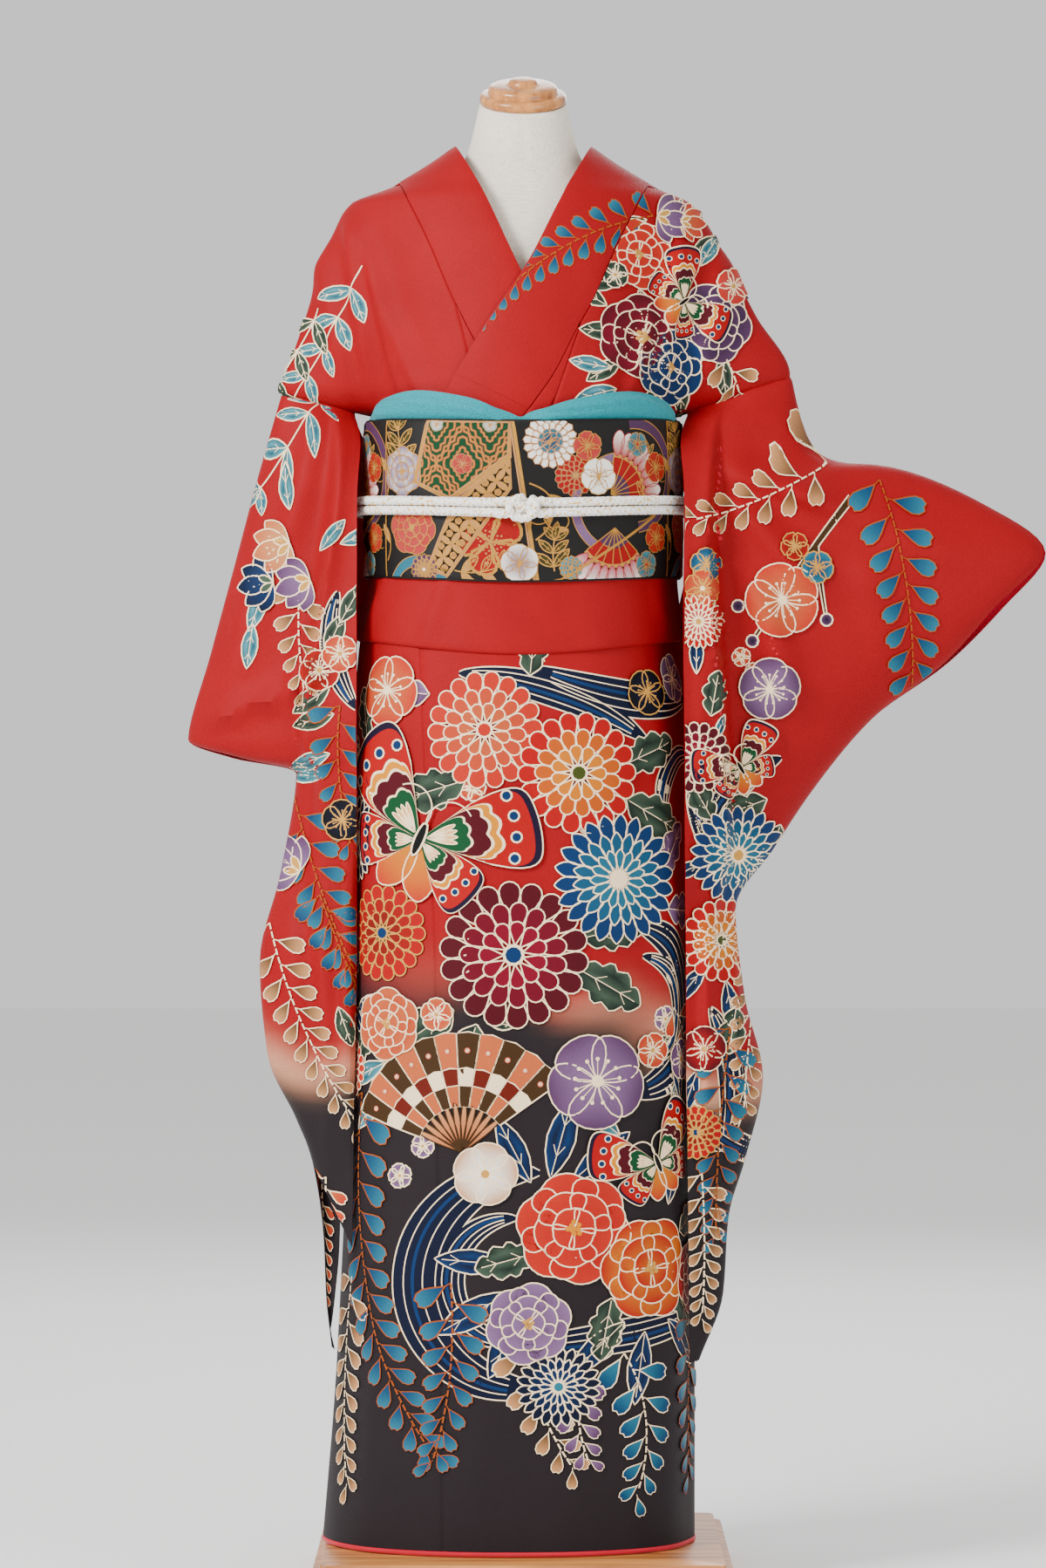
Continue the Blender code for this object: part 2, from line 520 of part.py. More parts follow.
def armhole_edge(side, front, count):
    """The sleeve seam on the body, from the shoulder fold to the armpit."""
    hole = ARMHOLE[side]
    x, z = np.linspace(*hole["x"], HOLE_ROWS), np.linspace(*hole["z"], HOLE_ROWS)
    edge = worn(angle_at(x, z, front), z, np.full(HOLE_ROWS, CREPE))
    at = np.linspace(0.0, HOLE_ROWS - 1.0, count)
    edge = np.stack([np.interp(at, np.arange(HOLE_ROWS), column) for column in edge.T], axis=-1)
    return edge - np.array([0.0, 0.0, SLEEVE_GAP])


def row_shares(rows):
    """How far down a sleeve each row of its table lies, from 0 at the seam to 1 at the end."""
    steps = np.hypot(np.diff(rows["in_z"] + rows["out_z"]), np.diff(rows["out_x"]))
    length = np.concatenate([[0.0], np.cumsum(steps)])
    return length / length[-1]


def sleeve_sheet(rows, front, along, columns):
    """One layer of a sleeve as a grid of points, at shares of its length from the seam down.

    Each row runs from the edge beside the body to the outer edge.  Its depth is nearly a
    quarter of an ellipse that closes at the outer edge, apart from the cuff, and the front
    layer has one fold that stands forward beside the body.  Two columns lie at that fold.
    """
    value = {name: smooth(row_shares(rows), column, along)[:, None]
             for name, column in rows.items()}
    beside = value["in_x"]
    toward, bulge = -1.0, 0.0
    if not front:
        sign = np.sign(beside)
        beside = sign * np.minimum(np.abs(beside) + value["back_x"], np.abs(value["out_x"]) - 0.003)
        toward, bulge = 1.0, sign * CUFF_BULGE * value["cuff"]
    edge = np.clip((value["fold_x"] - beside) / (value["out_x"] - beside), 0.12, 0.80)
    q = np.linspace(0.0, 1.0, columns)[None, :]
    inner = q < FOLD_SHARE
    step = np.minimum(FOLD_STEP / np.abs(value["out_x"] - beside), 0.1)
    last_inner = q[inner].max()
    first_outer = q[~inner].min()
    s = np.where(inner, (edge - step) * q / last_inner,
                 edge + step + (1.0 - edge - step) * (q - first_outer) / (1.0 - first_outer))
    x = beside * (1 - s) + (value["out_x"] + bulge) * s
    z = value["in_z"] * (1 - s) + value["out_z"] * s
    start_y = value["in_y"] + (0.0 if front else value["back_y"])
    middle = start_y * (1 - s) + value["out_y"] * s
    belly = np.sqrt(np.clip(1.0 - s ** 2.4, 0.0, 1.0))
    depth = value["gape"] * belly + value["cuff"] * (1.0 - belly) + 0.5 * SEAM_GAP
    if front:
        depth = depth + value["fold_out"] * np.where(inner, 1.0, 0.0)
    return np.stack([x, middle + toward * depth, z], axis=-1)


def thicken(sheet, thick, toward):
    """Second grid at a distance from the first, along its normals on the side given."""
    along = np.gradient(sheet, axis=1)
    down = np.gradient(sheet, axis=0)
    normal = np.cross(along, down)
    normal /= np.linalg.norm(normal, axis=-1, keepdims=True)
    flip = np.sign(np.sum(normal * np.asarray(toward), axis=-1, keepdims=True))
    return sheet + normal * flip * thick


def make_sleeves(crepe, lining):
    """Two deep sleeves, each a front and a back layer, open at the body and the cuff.

    The wearer's right sleeve is turned so that its front layer ends above the back one.  The
    left sleeve's cuff is turned too and shows the lining of its back layer.
    """
    for side, rows in (("right", RIGHT_SLEEVE), ("left", LEFT_SLEEVE)):
        shares = row_shares(rows)
        row = np.concatenate([np.arange(0.0, HALF_ROWS_TO, 0.5),
                              np.arange(HALF_ROWS_TO, len(shares))])
        along = np.interp(row, np.arange(len(shares)), shares)
        for layer, front in (("front", True), ("back", False)):
            sheet = sleeve_sheet(rows, front, along, SLEEVE_COLUMNS)
            edge = armhole_edge(side, front, SLEEVE_COLUMNS)[::-1]
            first = ease(along, 0.0, 0.09)[:, None, None]
            sheet = edge[None] * (1 - first) + sheet * first
            toward = (0.0, -1.0 if front else 1.0, 0.0)
            outside = thicken(sheet, CREPE, toward)
            if front and side == "right":
                shown = row < RIGHT_FRONT_ROWS
                sheet, outside = sheet[shown], outside[shown]
            wall("sleeve_%s_%s" % (side, layer), sheet, outside, crepe)
    near = (slice(*CUFF_LINING_ROWS), slice(-3, None))
    start = thicken(sheet, SEAM_GAP, (0.0, -1.0, 0.0))[near]
    end = thicken(sheet, SEAM_GAP + LINING, (0.0, -1.0, 0.0))[near]
    wall("sleeve_left_cuff_lining", start, end, lining)


def make_obi(brocade):
    """The stiff band, its drum bow at the back and the tail inside the bow."""
    angles = np.linspace(-math.pi, math.pi, 49)[None, :-1]
    f = np.linspace(0.0, 1.0, 4)[:, None]
    raised = rise(angles, OBI_RISE)
    heights = (OBI_BOTTOM + raised) * (1 - f) + (OBI_TOP + 0.8 * raised) * f
    crown = 0.0012 * np.sin(math.pi * f)
    worn_patch("obi_band", angles, heights, OBI_INSIDE + crown, OBI_WALL, brocade, ring=True)
    back = smooth(BODY["z"], BODY["back"], 1.05) + OBI_INSIDE + OBI_WALL
    line = np.stack([back + BOW["behind"], BOW["z"]], axis=-1)
    normal = np.gradient(line, axis=0)[:, ::-1] * (1.0, -1.0)
    normal /= np.linalg.norm(normal, axis=1, keepdims=True)
    wide = np.linspace(-0.5 * BOW_WIDTH, 0.5 * BOW_WIDTH, 5)[None, :, None]
    sheets = []
    for offset in (0.0, BOW_WALL):
        row = (line + normal * offset)[:, None, :]
        sheets.append(np.concatenate([wide + 0.0 * row[..., :1], row + 0.0 * wide], axis=-1))
    wall("obi_bow", *sheets, brocade)


def make_scarf(silk):
    """Scarf tucked behind the obi's top edge, in two soft crescents at the front."""
    angles = np.linspace(-math.pi, math.pi, 57)[None, :-1]
    crest = smooth(np.array((-180, -100, -84, -62, -45, -24, -5, -1, 3, 24, 45, 66, 84, 100, 180))
                   * DEG,
                   (0.003, 0.001, 0.001, 0.019, 0.025, 0.020, 0.005, 0.0015, 0.006, 0.019, 0.024,
                    0.016, 0.001, 0.001, 0.003), angles)
    top = OBI_TOP + 0.8 * rise(angles, OBI_RISE)
    heights = np.concatenate([top - 0.022, top + 0.0006, top + 0.0008 + 0.45 * crest,
                              top + 0.0012 + crest])
    puff = ease(crest, 0.002, 0.016)
    inside = SCARF_INSIDE + np.concatenate([0 * puff, 0 * puff, 0.0022 * puff, 0.0014 * puff])
    thick = SCARF_WALL + np.concatenate([0 * puff, 0 * puff, 0.0052 * puff, 0.0016 * puff])
    worn_patch("obi_scarf", angles, heights, inside, thick, silk, ring=True)


def make_cord(braid):
    """Two strands of braid round the obi, one above the other, with a flat knot in front."""
    angles = np.linspace(-math.pi, math.pi, 45)[:-1]
    out = np.full(angles.shape, OBI_INSIDE + OBI_WALL + 0.0014 + SEAM_GAP + CORD_RADIUS)
    for name, level in (("cord_upper", 0.5), ("cord_lower", -0.5)):
        z = CORD_Z + rise(angles, CORD_RISE) + level * CORD_SPACING
        centre = worn(angles, z, out)
        outward = centre - worn(angles, z, out - 0.001)
        outward /= np.linalg.norm(outward, axis=-1, keepdims=True)
        turn = np.linspace(0.0, 2.0 * math.pi, 7)[:-1]
        loops = (centre[:, None] + CORD_RADIUS * (np.cos(turn)[None, :, None] * outward[:, None]
                 + np.sin(turn)[None, :, None] * np.array([0.0, 0.0, 0.98])))
        count, sides = loops.shape[:2]
        faces = [(i * sides + j, i * sides + (j + 1) % sides,
                  ((i + 1) % count) * sides + (j + 1) % sides, ((i + 1) % count) * sides + j)
                 for i in range(count) for j in range(sides)]
        keep(name, loops.reshape(-1, 3), faces, braid)
    front = -worn(np.array([0.0]), np.array([CORD_Z]), OBI_INSIDE + OBI_WALL)[0, 1]
    y_inner = -(front + 0.0012 + 2 * CORD_RADIUS + 2 * SEAM_GAP)
    turn = np.linspace(0.0, 2.0 * math.pi, 21)[:-1]
    rings = []
    for size, y in ((0.80, y_inner), (1.0, y_inner - 0.003), (0.92, y_inner - 0.0065),
                    (0.55, y_inner - 0.009)):
        rings.append(np.stack([0.0235 * size * np.cos(turn), np.full(20, y),
                               CORD_Z + 0.0150 * size * np.sin(turn)], axis=-1))
    stacked_rings("cord_knot", np.array(rings), braid)


def make_form(linen, wood, metal):
    """Smooth limbless form, its turned cap, the pole and the moulded base."""
    z = np.concatenate([np.linspace(FORM_BOTTOM, 0.94, 5), [0.985, 1.05, 1.10, 1.15],
                        np.linspace(1.23, 1.33, 5), [1.346, 1.364, 1.39, 1.415]])
    angles = np.linspace(-math.pi, math.pi, FORM_SIDES + 1)[:-1]
    rings = []
    waist = ease(z, 0.90, 0.98) * (1.0 - ease(z, 1.06, 1.13))
    for height, share in zip(z, waist):
        half = smooth(FORM["z"], FORM["half_width"], height)
        depth = np.where(np.cos(angles) > 0, smooth(FORM["z"], FORM["front"], height),
                         smooth(FORM["z"], FORM["back"], height))
        own = np.stack([half * np.sin(angles), -depth * np.cos(angles),
                        np.full(angles.shape, height)], axis=-1)
        inside = worn(angles, np.full(angles.shape, 1.05), np.full(angles.shape, -FORM_CLEAR))
        inside = inside * (1.0, 1.0, 0.0) + (0.0, 0.0, height)
        rings.append(own * (1 - share) + inside * share)
    axis_y, axis_z = -math.sin(CAP_TILT), math.cos(CAP_TILT)
    ahead = np.array([0.0, -axis_z, axis_y])
    across = np.array([1.0, 0.0, 0.0])
    axis = np.array([0.0, axis_y, axis_z])
    circle = np.sin(angles)[:, None] * across + np.cos(angles)[:, None] * ahead
    rings.append(np.array(NECK_TOP) + NECK_RADIUS * circle)
    stacked_rings("form_torso", np.array(rings), linen)
    radius, height = CAP["radius"][:, None, None], CAP["height"][:, None, None]
    stacked_rings("form_cap", np.array(NECK_TOP) + axis * height + radius * circle, wood)
    round_steps = np.linspace(0.0, 2.0 * math.pi, 17)[:-1]
    circle = np.stack([np.cos(round_steps), np.sin(round_steps), 0 * round_steps], axis=-1)
    pole = [circle * (r, r, 0.0) + (0.0, 0.0, h) for r, h in (
        (0.045, BASE_THICK + SEAM_GAP), (0.045, 0.050), (0.020, 0.056), (POLE_RADIUS, 0.060),
        (POLE_RADIUS, FORM_BOTTOM - SEAM_GAP))]
    stacked_rings("stand_pole", np.array(pole), metal)
    corners = np.array([(-1, -1), (1, -1), (1, 1), (-1, 1)])
    half = 0.5 * BASE_SIDE
    outline = []
    for inset, height in ((0.003, 0.0), (0.0, 0.003), (0.0, 0.030), (0.003, 0.033),
                          (BASE_STEP, 0.034), (BASE_STEP, 0.038), (BASE_STEP + 0.002, BASE_THICK)):
        ring_points = []
        for corner in corners:
            for step in range(4):
                turn = math.atan2(corner[1], corner[0]) + (step / 3.0 - 0.5) * 0.5 * math.pi
                centre = corner * (half - inset - 0.006)
                ring_points.append((centre[0] + 0.006 * math.cos(turn),
                                    centre[1] + 0.006 * math.sin(turn), height))
        outline.append(ring_points)
    stacked_rings("stand_base", np.array(outline), wood)


def main():
    for thing in list(bpy.data.objects):
        bpy.data.objects.remove(thing, do_unlink=True)
    crepe = material("red silk crepe", (0.66, 0.02, 0.03), 0.62)
    lining = material("crimson lining silk", (0.70, 0.008, 0.05), 0.55)
    brocade = material("black and gold brocade", (0.05, 0.04, 0.03), 0.5)
    silk = material("teal scarf silk", (0.05, 0.36, 0.39), 0.6)
    braid = material("white silk braid", (0.86, 0.83, 0.78), 0.5)
    linen = material("cream linen", (0.78, 0.73, 0.63), 0.85)
    wood = material("turned honey wood", (0.62, 0.34, 0.14), 0.35)
    metal = material("grey steel tube", (0.5, 0.5, 0.5), 0.35, 1.0)
    make_form(linen, wood, metal)
    make_skirt(crepe, lining)
    make_waist_fold(crepe)
    make_collar(crepe)
    make_bodice(crepe)
    make_sleeves(crepe, lining)
    make_obi(brocade)
    make_scarf(silk)
    make_cord(braid)


main()
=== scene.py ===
import math

import bpy
import numpy as np
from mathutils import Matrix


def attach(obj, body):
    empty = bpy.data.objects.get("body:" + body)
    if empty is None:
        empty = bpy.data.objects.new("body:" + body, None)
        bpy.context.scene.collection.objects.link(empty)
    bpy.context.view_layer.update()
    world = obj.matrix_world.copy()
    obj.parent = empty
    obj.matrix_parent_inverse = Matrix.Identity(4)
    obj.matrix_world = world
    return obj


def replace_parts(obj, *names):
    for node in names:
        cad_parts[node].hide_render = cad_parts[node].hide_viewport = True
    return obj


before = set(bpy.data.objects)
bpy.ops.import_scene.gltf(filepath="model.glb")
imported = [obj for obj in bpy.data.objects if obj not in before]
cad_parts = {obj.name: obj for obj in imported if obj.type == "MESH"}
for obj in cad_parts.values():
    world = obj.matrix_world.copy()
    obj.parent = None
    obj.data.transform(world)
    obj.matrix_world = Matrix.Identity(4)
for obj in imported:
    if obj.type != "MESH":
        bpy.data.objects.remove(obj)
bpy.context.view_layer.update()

bl_info = {
    "name": "Furisode on a dress form",
    "version": (1, 0, 0),
    "blender": (4, 5, 0),
    "location": "3D View > Sidebar > Furisode",
    "description": "Dresses the frame of a long-sleeved robe with its folds, dyes and motifs",
    "category": "Add Mesh",
}

# The robe's sizes, in metres, as its solids have them.  Angles run round the body from the
# front centre, positive towards the wearer's left.
DEG = math.pi / 180.0
SEAM_GAP = 0.0003
CREPE = 0.0014
COLLAR_WALL = 0.0024
OVER = 0.0042
FOLD_OUT = 0.0092
OBI_OUT = 0.0140
CORD_RADIUS = 0.0046
CORD_SPACING = 0.0094
BASE_THICK = 0.040
HEM_Z = 0.0455
SKIRT_TOP = 0.985
WAIST_FOLD = (0.8975, 0.998)
WAIST_FOLD_RISE = 0.015
OBI = (0.9665, 1.1215)
OBI_RISE = 0.0070
CORD_Z = 1.0373
CORD_RISE = 0.0070
BODICE_BOTTOM = 1.050
CAP_TILT = math.radians(21.0)
NECK_TOP = (0.0, -0.004, 1.4375)
FORM_BOTTOM = 0.620
NECK_RADIUS = 0.0420
BEHIND_NECK = {"inner": 1.366, "outer": 1.300}


def table(columns, rows):
    """Read rows of whole numbers, in tenths of a millimetre, as one array for each column."""
    numbers = np.array([row.split() for row in rows.split(",")], float)
    return dict(zip(columns.split(), numbers.T / 10000.0))


# Inside of the cloth at each height: half widths, depths, rounding power (23000 stands for
# 2.3) and shoulder wings
BODY = table("z centre right left front back power wing_right wing_left wing_depth", """
    300 -135 1775 1780 1390 1300 23000 100 100 100,
    2270 -80 1675 1700 1340 1260 23000 100 100 100,
    6000 -30 1585 1610 1300 1220 23000 100 100 100,
    8000 -30 1590 1600 1270 1210 22500 100 100 100,
    9000 -30 1525 1505 1240 1200 22000 100 100 100,
    9300 -24 1486 1478 1225 1200 22000 100 100 100,
    9800 0 1410 1410 1215 1200 22000 100 100 100,
    11310 0 1410 1410 1215 1200 22000 500 500 200,
    11380 0 1415 1415 1222 1205 21500 1780 1800 360,
    11470 0 1420 1420 1225 1210 21000 2170 2230 440,
    11590 0 1430 1430 1220 1215 20500 2365 2520 500,
    11730 0 1440 1440 1210 1220 20000 2310 2600 540,
    12300 0 1480 1480 1140 1240 20000 2100 2265 640,
    12970 0 1500 1500 1010 1240 20000 1850 1870 700,
    13390 0 1420 1400 860 1200 20000 1600 1560 660,
    13570 0 1170 1170 760 1180 20000 1060 1060 500,
    13940 0 660 660 600 1120 20000 400 400 300,
    14100 0 520 520 540 1100 20000 300 300 200""")
WING_POWER = 1.6
BLEND_POWER = 8.0

FORM = table("z half_width front back", """
    6200 1280 1000 980, 7000 1400 1100 1080, 8600 1420 1140 1100, 12300 1370 960 960,
    13000 1380 820 860, 13280 1260 700 760, 13460 980 610 660, 13640 700 550 590,
    13900 540 530 530, 14200 460 465 455, 14375 420 420 420""")

CAP = table("radius height", """
    380 3, 408 6, 420 22, 425 50, 420 76, 405 94, 380 104, 345 106, 339 124, 337 148, 326 168,
    300 181, 250 190, 180 194, 158 198, 142 206, 136 222, 122 236, 90 246, 10 250""")

RIGHT_COLLAR = table("z_inner x_inner z_outer x_outer", """
    13935 -646 13565 -1192, 13420 -370 12980 -905, 12950 -155 12413 -667, 12660 -20 12050 -490,
    12050 290 11600 -240, 11500 480 11050 30""")
LEFT_COLLAR = table("z_inner x_inner z_outer x_outer", """
    13935 655 13540 1204, 13300 330 12900 880, 12720 40 12380 650, 12160 -332 12110 505,
    11800 -545 11640 270, 11455 -730 11300 30, 11000 -900 10950 -200""")
COLLARS = {"right": RIGHT_COLLAR, "left": LEFT_COLLAR}
OVER_COLLAR_END = {"inner": 1.1660, "outer": 1.1333}
OVERLAP_SEAM = {
    "right": table("z x", "12388 -651, 11866 -519, 10500 -174"),
    "left": table("z x", "12146 536, 11348 272, 10500 -9")}
OKUMI = table("z x", "400 -745, 4000 -785, 6300 -820, 7200 -880, 9000 -960")
ARMHOLE = {
    "right": {"x": (-0.2360, -0.1640), "z": (1.1550, 1.1370)},
    "left": {"x": (0.2600, 0.1600), "z": (1.1700, 1.1370)}}

# Sleeve sheets as rows from the sleeve seam down
SLEEVE_COLUMNS = "in_x in_z out_x out_z in_y out_y gape cuff fold_x fold_out back_x back_y"
RIGHT_SLEEVE = table(SLEEVE_COLUMNS, """
    -1640 11355 -2360 11535 0 0 280 0 -1840 30 40 100,
    -1600 10700 -2590 10725 -220 20 300 0 -1820 120 -40 540,
    -1600 9890 -2815 9880 -260 40 300 0 -1920 160 -40 580,
    -1600 9050 -3045 9030 -280 60 300 0 -2060 200 80 340,
    -1600 8260 -3265 8185 -300 80 300 10 -2160 220 130 100,
    -1600 8060 -2740 8000 -300 0 290 150 -2140 210 130 80,
    -1600 7850 -2200 7850 -300 -120 280 10 -2000 180 130 40,
    -1600 6900 -2360 6880 -320 -140 280 0 -2050 60 130 0,
    -1600 6050 -2560 6020 -360 -160 280 0 -2100 0 130 0,
    -1615 5150 -2480 5110 -400 -200 260 0 -2050 0 130 0,
    -1630 4400 -2210 4520 -460 -260 240 0 -1900 0 130 0,
    -1645 3300 -2045 4104 -600 -360 180 0 -1800 0 130 0,
    -1680 2850 -1930 3400 -660 -480 120 0 -1800 0 130 0,
    -1715 2550 -1900 2800 -680 -580 90 0 -1800 0 130 0,
    -1770 2300 -1845 2320 -680 -630 60 0 -1800 0 130 0""")
RIGHT_FRONT_ROWS = 12
LEFT_SLEEVE = table(SLEEVE_COLUMNS, """
    1600 11355 2600 11685 0 0 280 0 1900 30 60 100,
    1550 10800 2880 10890 -300 0 300 0 1860 200 20 620,
    1548 10400 3440 10860 -340 0 300 0 1840 260 80 500,
    1542 9950 4520 10460 -360 0 300 0 1840 300 120 400,
    1536 9500 5070 10000 -380 -40 300 40 1860 320 40 500,
    1536 9250 4590 9470 -390 -40 300 150 1880 330 0 560,
    1536 9000 4110 8930 -400 -40 300 60 1900 340 -20 600,
    1542 8500 3400 8380 -420 -40 300 0 1940 340 0 560,
    1546 7900 2840 7710 -440 -40 300 0 1980 340 90 300,
    1552 7200 2430 7100 -460 -80 280 0 2010 260 130 80,
    1562 6500 2065 6530 -480 -200 260 0 1900 80 140 0,
    1568 5700 2155 5680 -500 -240 260 0 1900 0 150 0,
    1571 4900 2330 4900 -520 -260 260 0 1950 0 150 0,
    1580 4200 2160 4130 -540 -300 240 0 1900 0 150 0,
    1588 3500 1990 3550 -580 -400 200 0 1800 0 150 0,
    1597 2800 1935 2830 -620 -500 140 0 1760 0 150 0,
    1607 2180 1700 2200 -660 -620 60 0 1670 0 150 0""")
SIGN = {"right": -1.0, "left": 1.0}
SLEEVES = {"right": RIGHT_SLEEVE, "left": LEFT_SLEEVE}
CUFF_BULGE = 0.70

# The drum bow's profile: how far behind the obi's back, and the height
BOW = table("behind z", """
    6 11000, 10 11280, 100 11660, 450 11880, 780 11760, 980 11350, 1040 10700, 1040 9900,
    960 9300, 740 9050, 440 9100, 200 9400, 80 9800, 20 10160""")
BOW_HALF_WIDTH = 0.147
BOW_WALL = 0.0032

# Soft ridges of cloth: each runs from one point to another, seen from the front, and has a
# width and a height.  On the skirt x is measured along the cloth from the front centre.
CREASE_COLUMNS = "x0 z0 x1 z1 width height"
SKIRT_CREASES = table(CREASE_COLUMNS, """
    -1500 8800 -1650 3000 160 30, -400 8600 -520 4200 220 20, 600 8800 520 1200 280 26,
    1500 9000 1580 700 200 36, 1100 5000 1180 600 160 24, -200 4000 -260 600 300 20,
    -1200 4200 -1320 600 180 28, 2050 9000 2150 600 200 30, 2900 8800 3000 600 260 34,
    -2900 8800 -3000 600 260 34, 3700 8800 3850 600 260 30, -3800 8800 -3900 600 220 30""")
FOLD_CREASES = table(CREASE_COLUMNS, """
    -1550 9750 -1850 9150 70 20, -780 9750 -1000 9020 60 14, 600 9650 800 9000 160 12,
    1500 9750 1700 9100 100 20, 3000 9850 3100 9200 180 20, -3100 9850 -3000 9200 180 20""")
BODICE_CREASES = table(CREASE_COLUMNS, """
    -1680 13300 -1460 11650 80 62, -1430 12750 -1120 11450 60 54, -1960 12900 -1720 11600 100 50,
    -1200 12150 -940 11400 60 30, 1500 13000 1280 11500 80 52, 1200 12300 980 11420 70 40,
    1900 12800 1700 11600 100 50, 850 12000 700 11400 60 24""")
BACK_CREASES = table(CREASE_COLUMNS, """
    -1600 13200 -1350 11400 120 50, 1600 13200 1350 11400 120 50, -800 12400 -700 11300 140 30,
    850 12500 700 11300 140 30""")
SLEEVE_CREASES = {
    "right": table(CREASE_COLUMNS, """
        -3060 8340 -2000 8720 60 76, -1750 11100 -1960 9600 70 60, -2000 11200 -2350 10000 90 60,
        -2620 9850 -2880 8600 120 56, -1960 6600 -1860 4200 90 60, -2260 6400 -2200 5000 90 50,
        -1720 7200 -1700 4700 60 50, -2120 9400 -2240 8500 80 50"""),
    "left": table(CREASE_COLUMNS, """
        1760 11060 2800 10940 70 80, 1960 10760 2960 10440 90 76, 2050 10450 2900 9500 100 70,
        2600 10600 4300 9900 140 54, 2250 9600 2620 8500 100 70, 3300 9900 3520 8900 160 44,
        1780 6400 1760 4200 70 60, 2050 6000 2100 4800 80 50, 1700 9000 1710 7000 60 30,
        2150 7600 2400 8300 100 50""")}


def linear(hex_colour):
    """Turn an sRGB hex value into linear red, green and blue."""
    value = int(hex_colour.lstrip("#"), 16)
    s = np.array([value >> 16 & 255, value >> 8 & 255, value & 255]) / 255.0
    return np.where(s <= 0.04045, s / 12.92, ((s + 0.055) / 1.055) ** 2.4)


def length_property(label, description, value):
    """A size in metres, shown in the sidebar."""
    return bpy.props.FloatProperty(name=label, description=description, default=value, min=0.0,
                                   unit="LENGTH", precision=5)


def colour_property(label, description, value):
    """A colour given as an sRGB hex value, shown in the sidebar."""
    return bpy.props.FloatVectorProperty(name=label, description=description, subtype="COLOR",
                                         size=3, min=0.0, max=1.0, default=tuple(linear(value)))


class RobeSizes(bpy.types.PropertyGroup):
    """Sizes of the cloth's finer form."""
    silk: length_property("Silk", "Thickness of the silk with its lining", 0.0008)
    resist_line: length_property("Resist line", "Width of the pale lines round the motifs", 0.0013)
    print_lift: length_property("Motif lift", "Height of the motifs over the cloth", 0.0004)
    print_step: length_property("Motif step", "Height between one layer of a motif and the next",
                                0.00005)
    seam_roll: length_property("Seam roll", "How far the cloth rolls in at a seam", 0.0011)
    braid: length_property("Braid", "Thickness of one strand of the cord", 0.0088)
    braid_pitch: length_property("Braid pitch", "Length of one crossing of the cord", 0.0058)
    crepe_pebble: length_property("Crepe pebble", "Size of the pebbles of the crepe", 0.0011)
    linen_slub: length_property("Linen slub", "Width of one thread of the linen", 0.0008)


class RobeColours(bpy.types.PropertyGroup):
    """Colours of the cloth, the cord and the stand."""
    ground: colour_property("Ground", "Red of the dyed crepe", "#90000B")
    shade: colour_property("Shade", "Charcoal of the lower parts", "#1E171A")
    glow: colour_property("Glow", "Pale light between the two dyes", "#F0B890")
    lining: colour_property("Lining", "Crimson of the lining", "#C4082A")
    scarf: colour_property("Scarf", "Teal of the scarf", "#0E8A94")
    satin: colour_property("Satin", "Black ground of the sash", "#0A0807")
    braid: colour_property("Braid", "White of the cord", "#FFFDF8")
    gold: colour_property("Gold", "Gold thread", "#E8B860")
    linen: colour_property("Linen", "Cream of the form", "#F2E8D6")
    wood: colour_property("Wood", "Honey colour of the stand", "#D48C48")
    steel: colour_property("Steel", "Grey of the pole", "#9A9C9E")


def sizes():
    """The scene's sizes, as set in the sidebar."""
    return bpy.context.scene.robe_sizes


def colour(name):
    """One of the scene's colours as an array."""
    return np.array(getattr(bpy.context.scene.robe_colours, name))


# Dyes and threads of the motifs
PALE = ("cream", "white")
INK = {name: linear(value) if name in PALE else 0.72 * linear(value) ** 1.2
           for name, value in {
    "cream": "#FFE2B6", "gold": "#E6B05C", "orange": "#BC6420", "rust": "#7E2610",
    "navy": "#071A3C", "blue": "#0C4274", "sky": "#3A8CA2", "teal": "#226878",
    "ice": "#6AACB8", "peach": "#D97848", "sand": "#E6AC78", "brown": "#553A1A",
    "olive": "#545E20", "leaf": "#22342C", "sage": "#566A58", "green": "#005E38",
    "coral": "#D43C28", "rose": "#D65856", "red": "#C2000E", "wine": "#640020",
    "magenta": "#A2003A", "pink": "#DC5C78", "mauve": "#6A466C", "lilac": "#9A7AA2",
    "plum": "#26143A", "yellow": "#F0A010", "white": "#FFFAEE", "black": "#0A0807"}.items()}


def stacked(*parts):
    """Arrays side by side, as the last axis."""
    return np.stack(parts, axis=-1)


def unit(vectors):
    """Vectors of the same directions and of length 1."""
    return vectors / np.maximum(np.linalg.norm(vectors, axis=-1, keepdims=True), 1e-12)


def smooth(knots, values, at):
    """Read a cubic curve that passes through the knots without overshooting them.

    Each knot's slope is the harmonic mean of its two spans' slopes, and none where they turn.
    """
    order = np.argsort(knots)
    knot, value = np.asarray(knots, float)[order], np.asarray(values, float)[order]
    span = np.diff(knot)
    slope = np.diff(value) / span
    tangent = np.concatenate([slope[:1], np.zeros(len(knot) - 2), slope[-1:]])
    same = slope[:-1] * slope[1:] > 0
    total = np.where(same, slope[:-1] + slope[1:], 1.0)
    tangent[1:-1] = np.where(same, 2.0 * slope[:-1] * slope[1:] / total, 0.0)
    at = np.clip(at, knot[0], knot[-1])
    i = np.clip(np.searchsorted(knot, at, side="right") - 1, 0, len(knot) - 2)
    f = (at - knot[i]) / span[i]
    g = 1.0 - f
    return (value[i] * g * g * (1.0 + 2.0 * f) + value[i + 1] * f * f * (3.0 - 2.0 * f)
            + span[i] * (tangent[i] * f * g * g - tangent[i + 1] * f * f * g))


def at_height(rows, name, z):
    """Read a column of a table at these heights."""
    return smooth(rows["z"], rows[name], z)


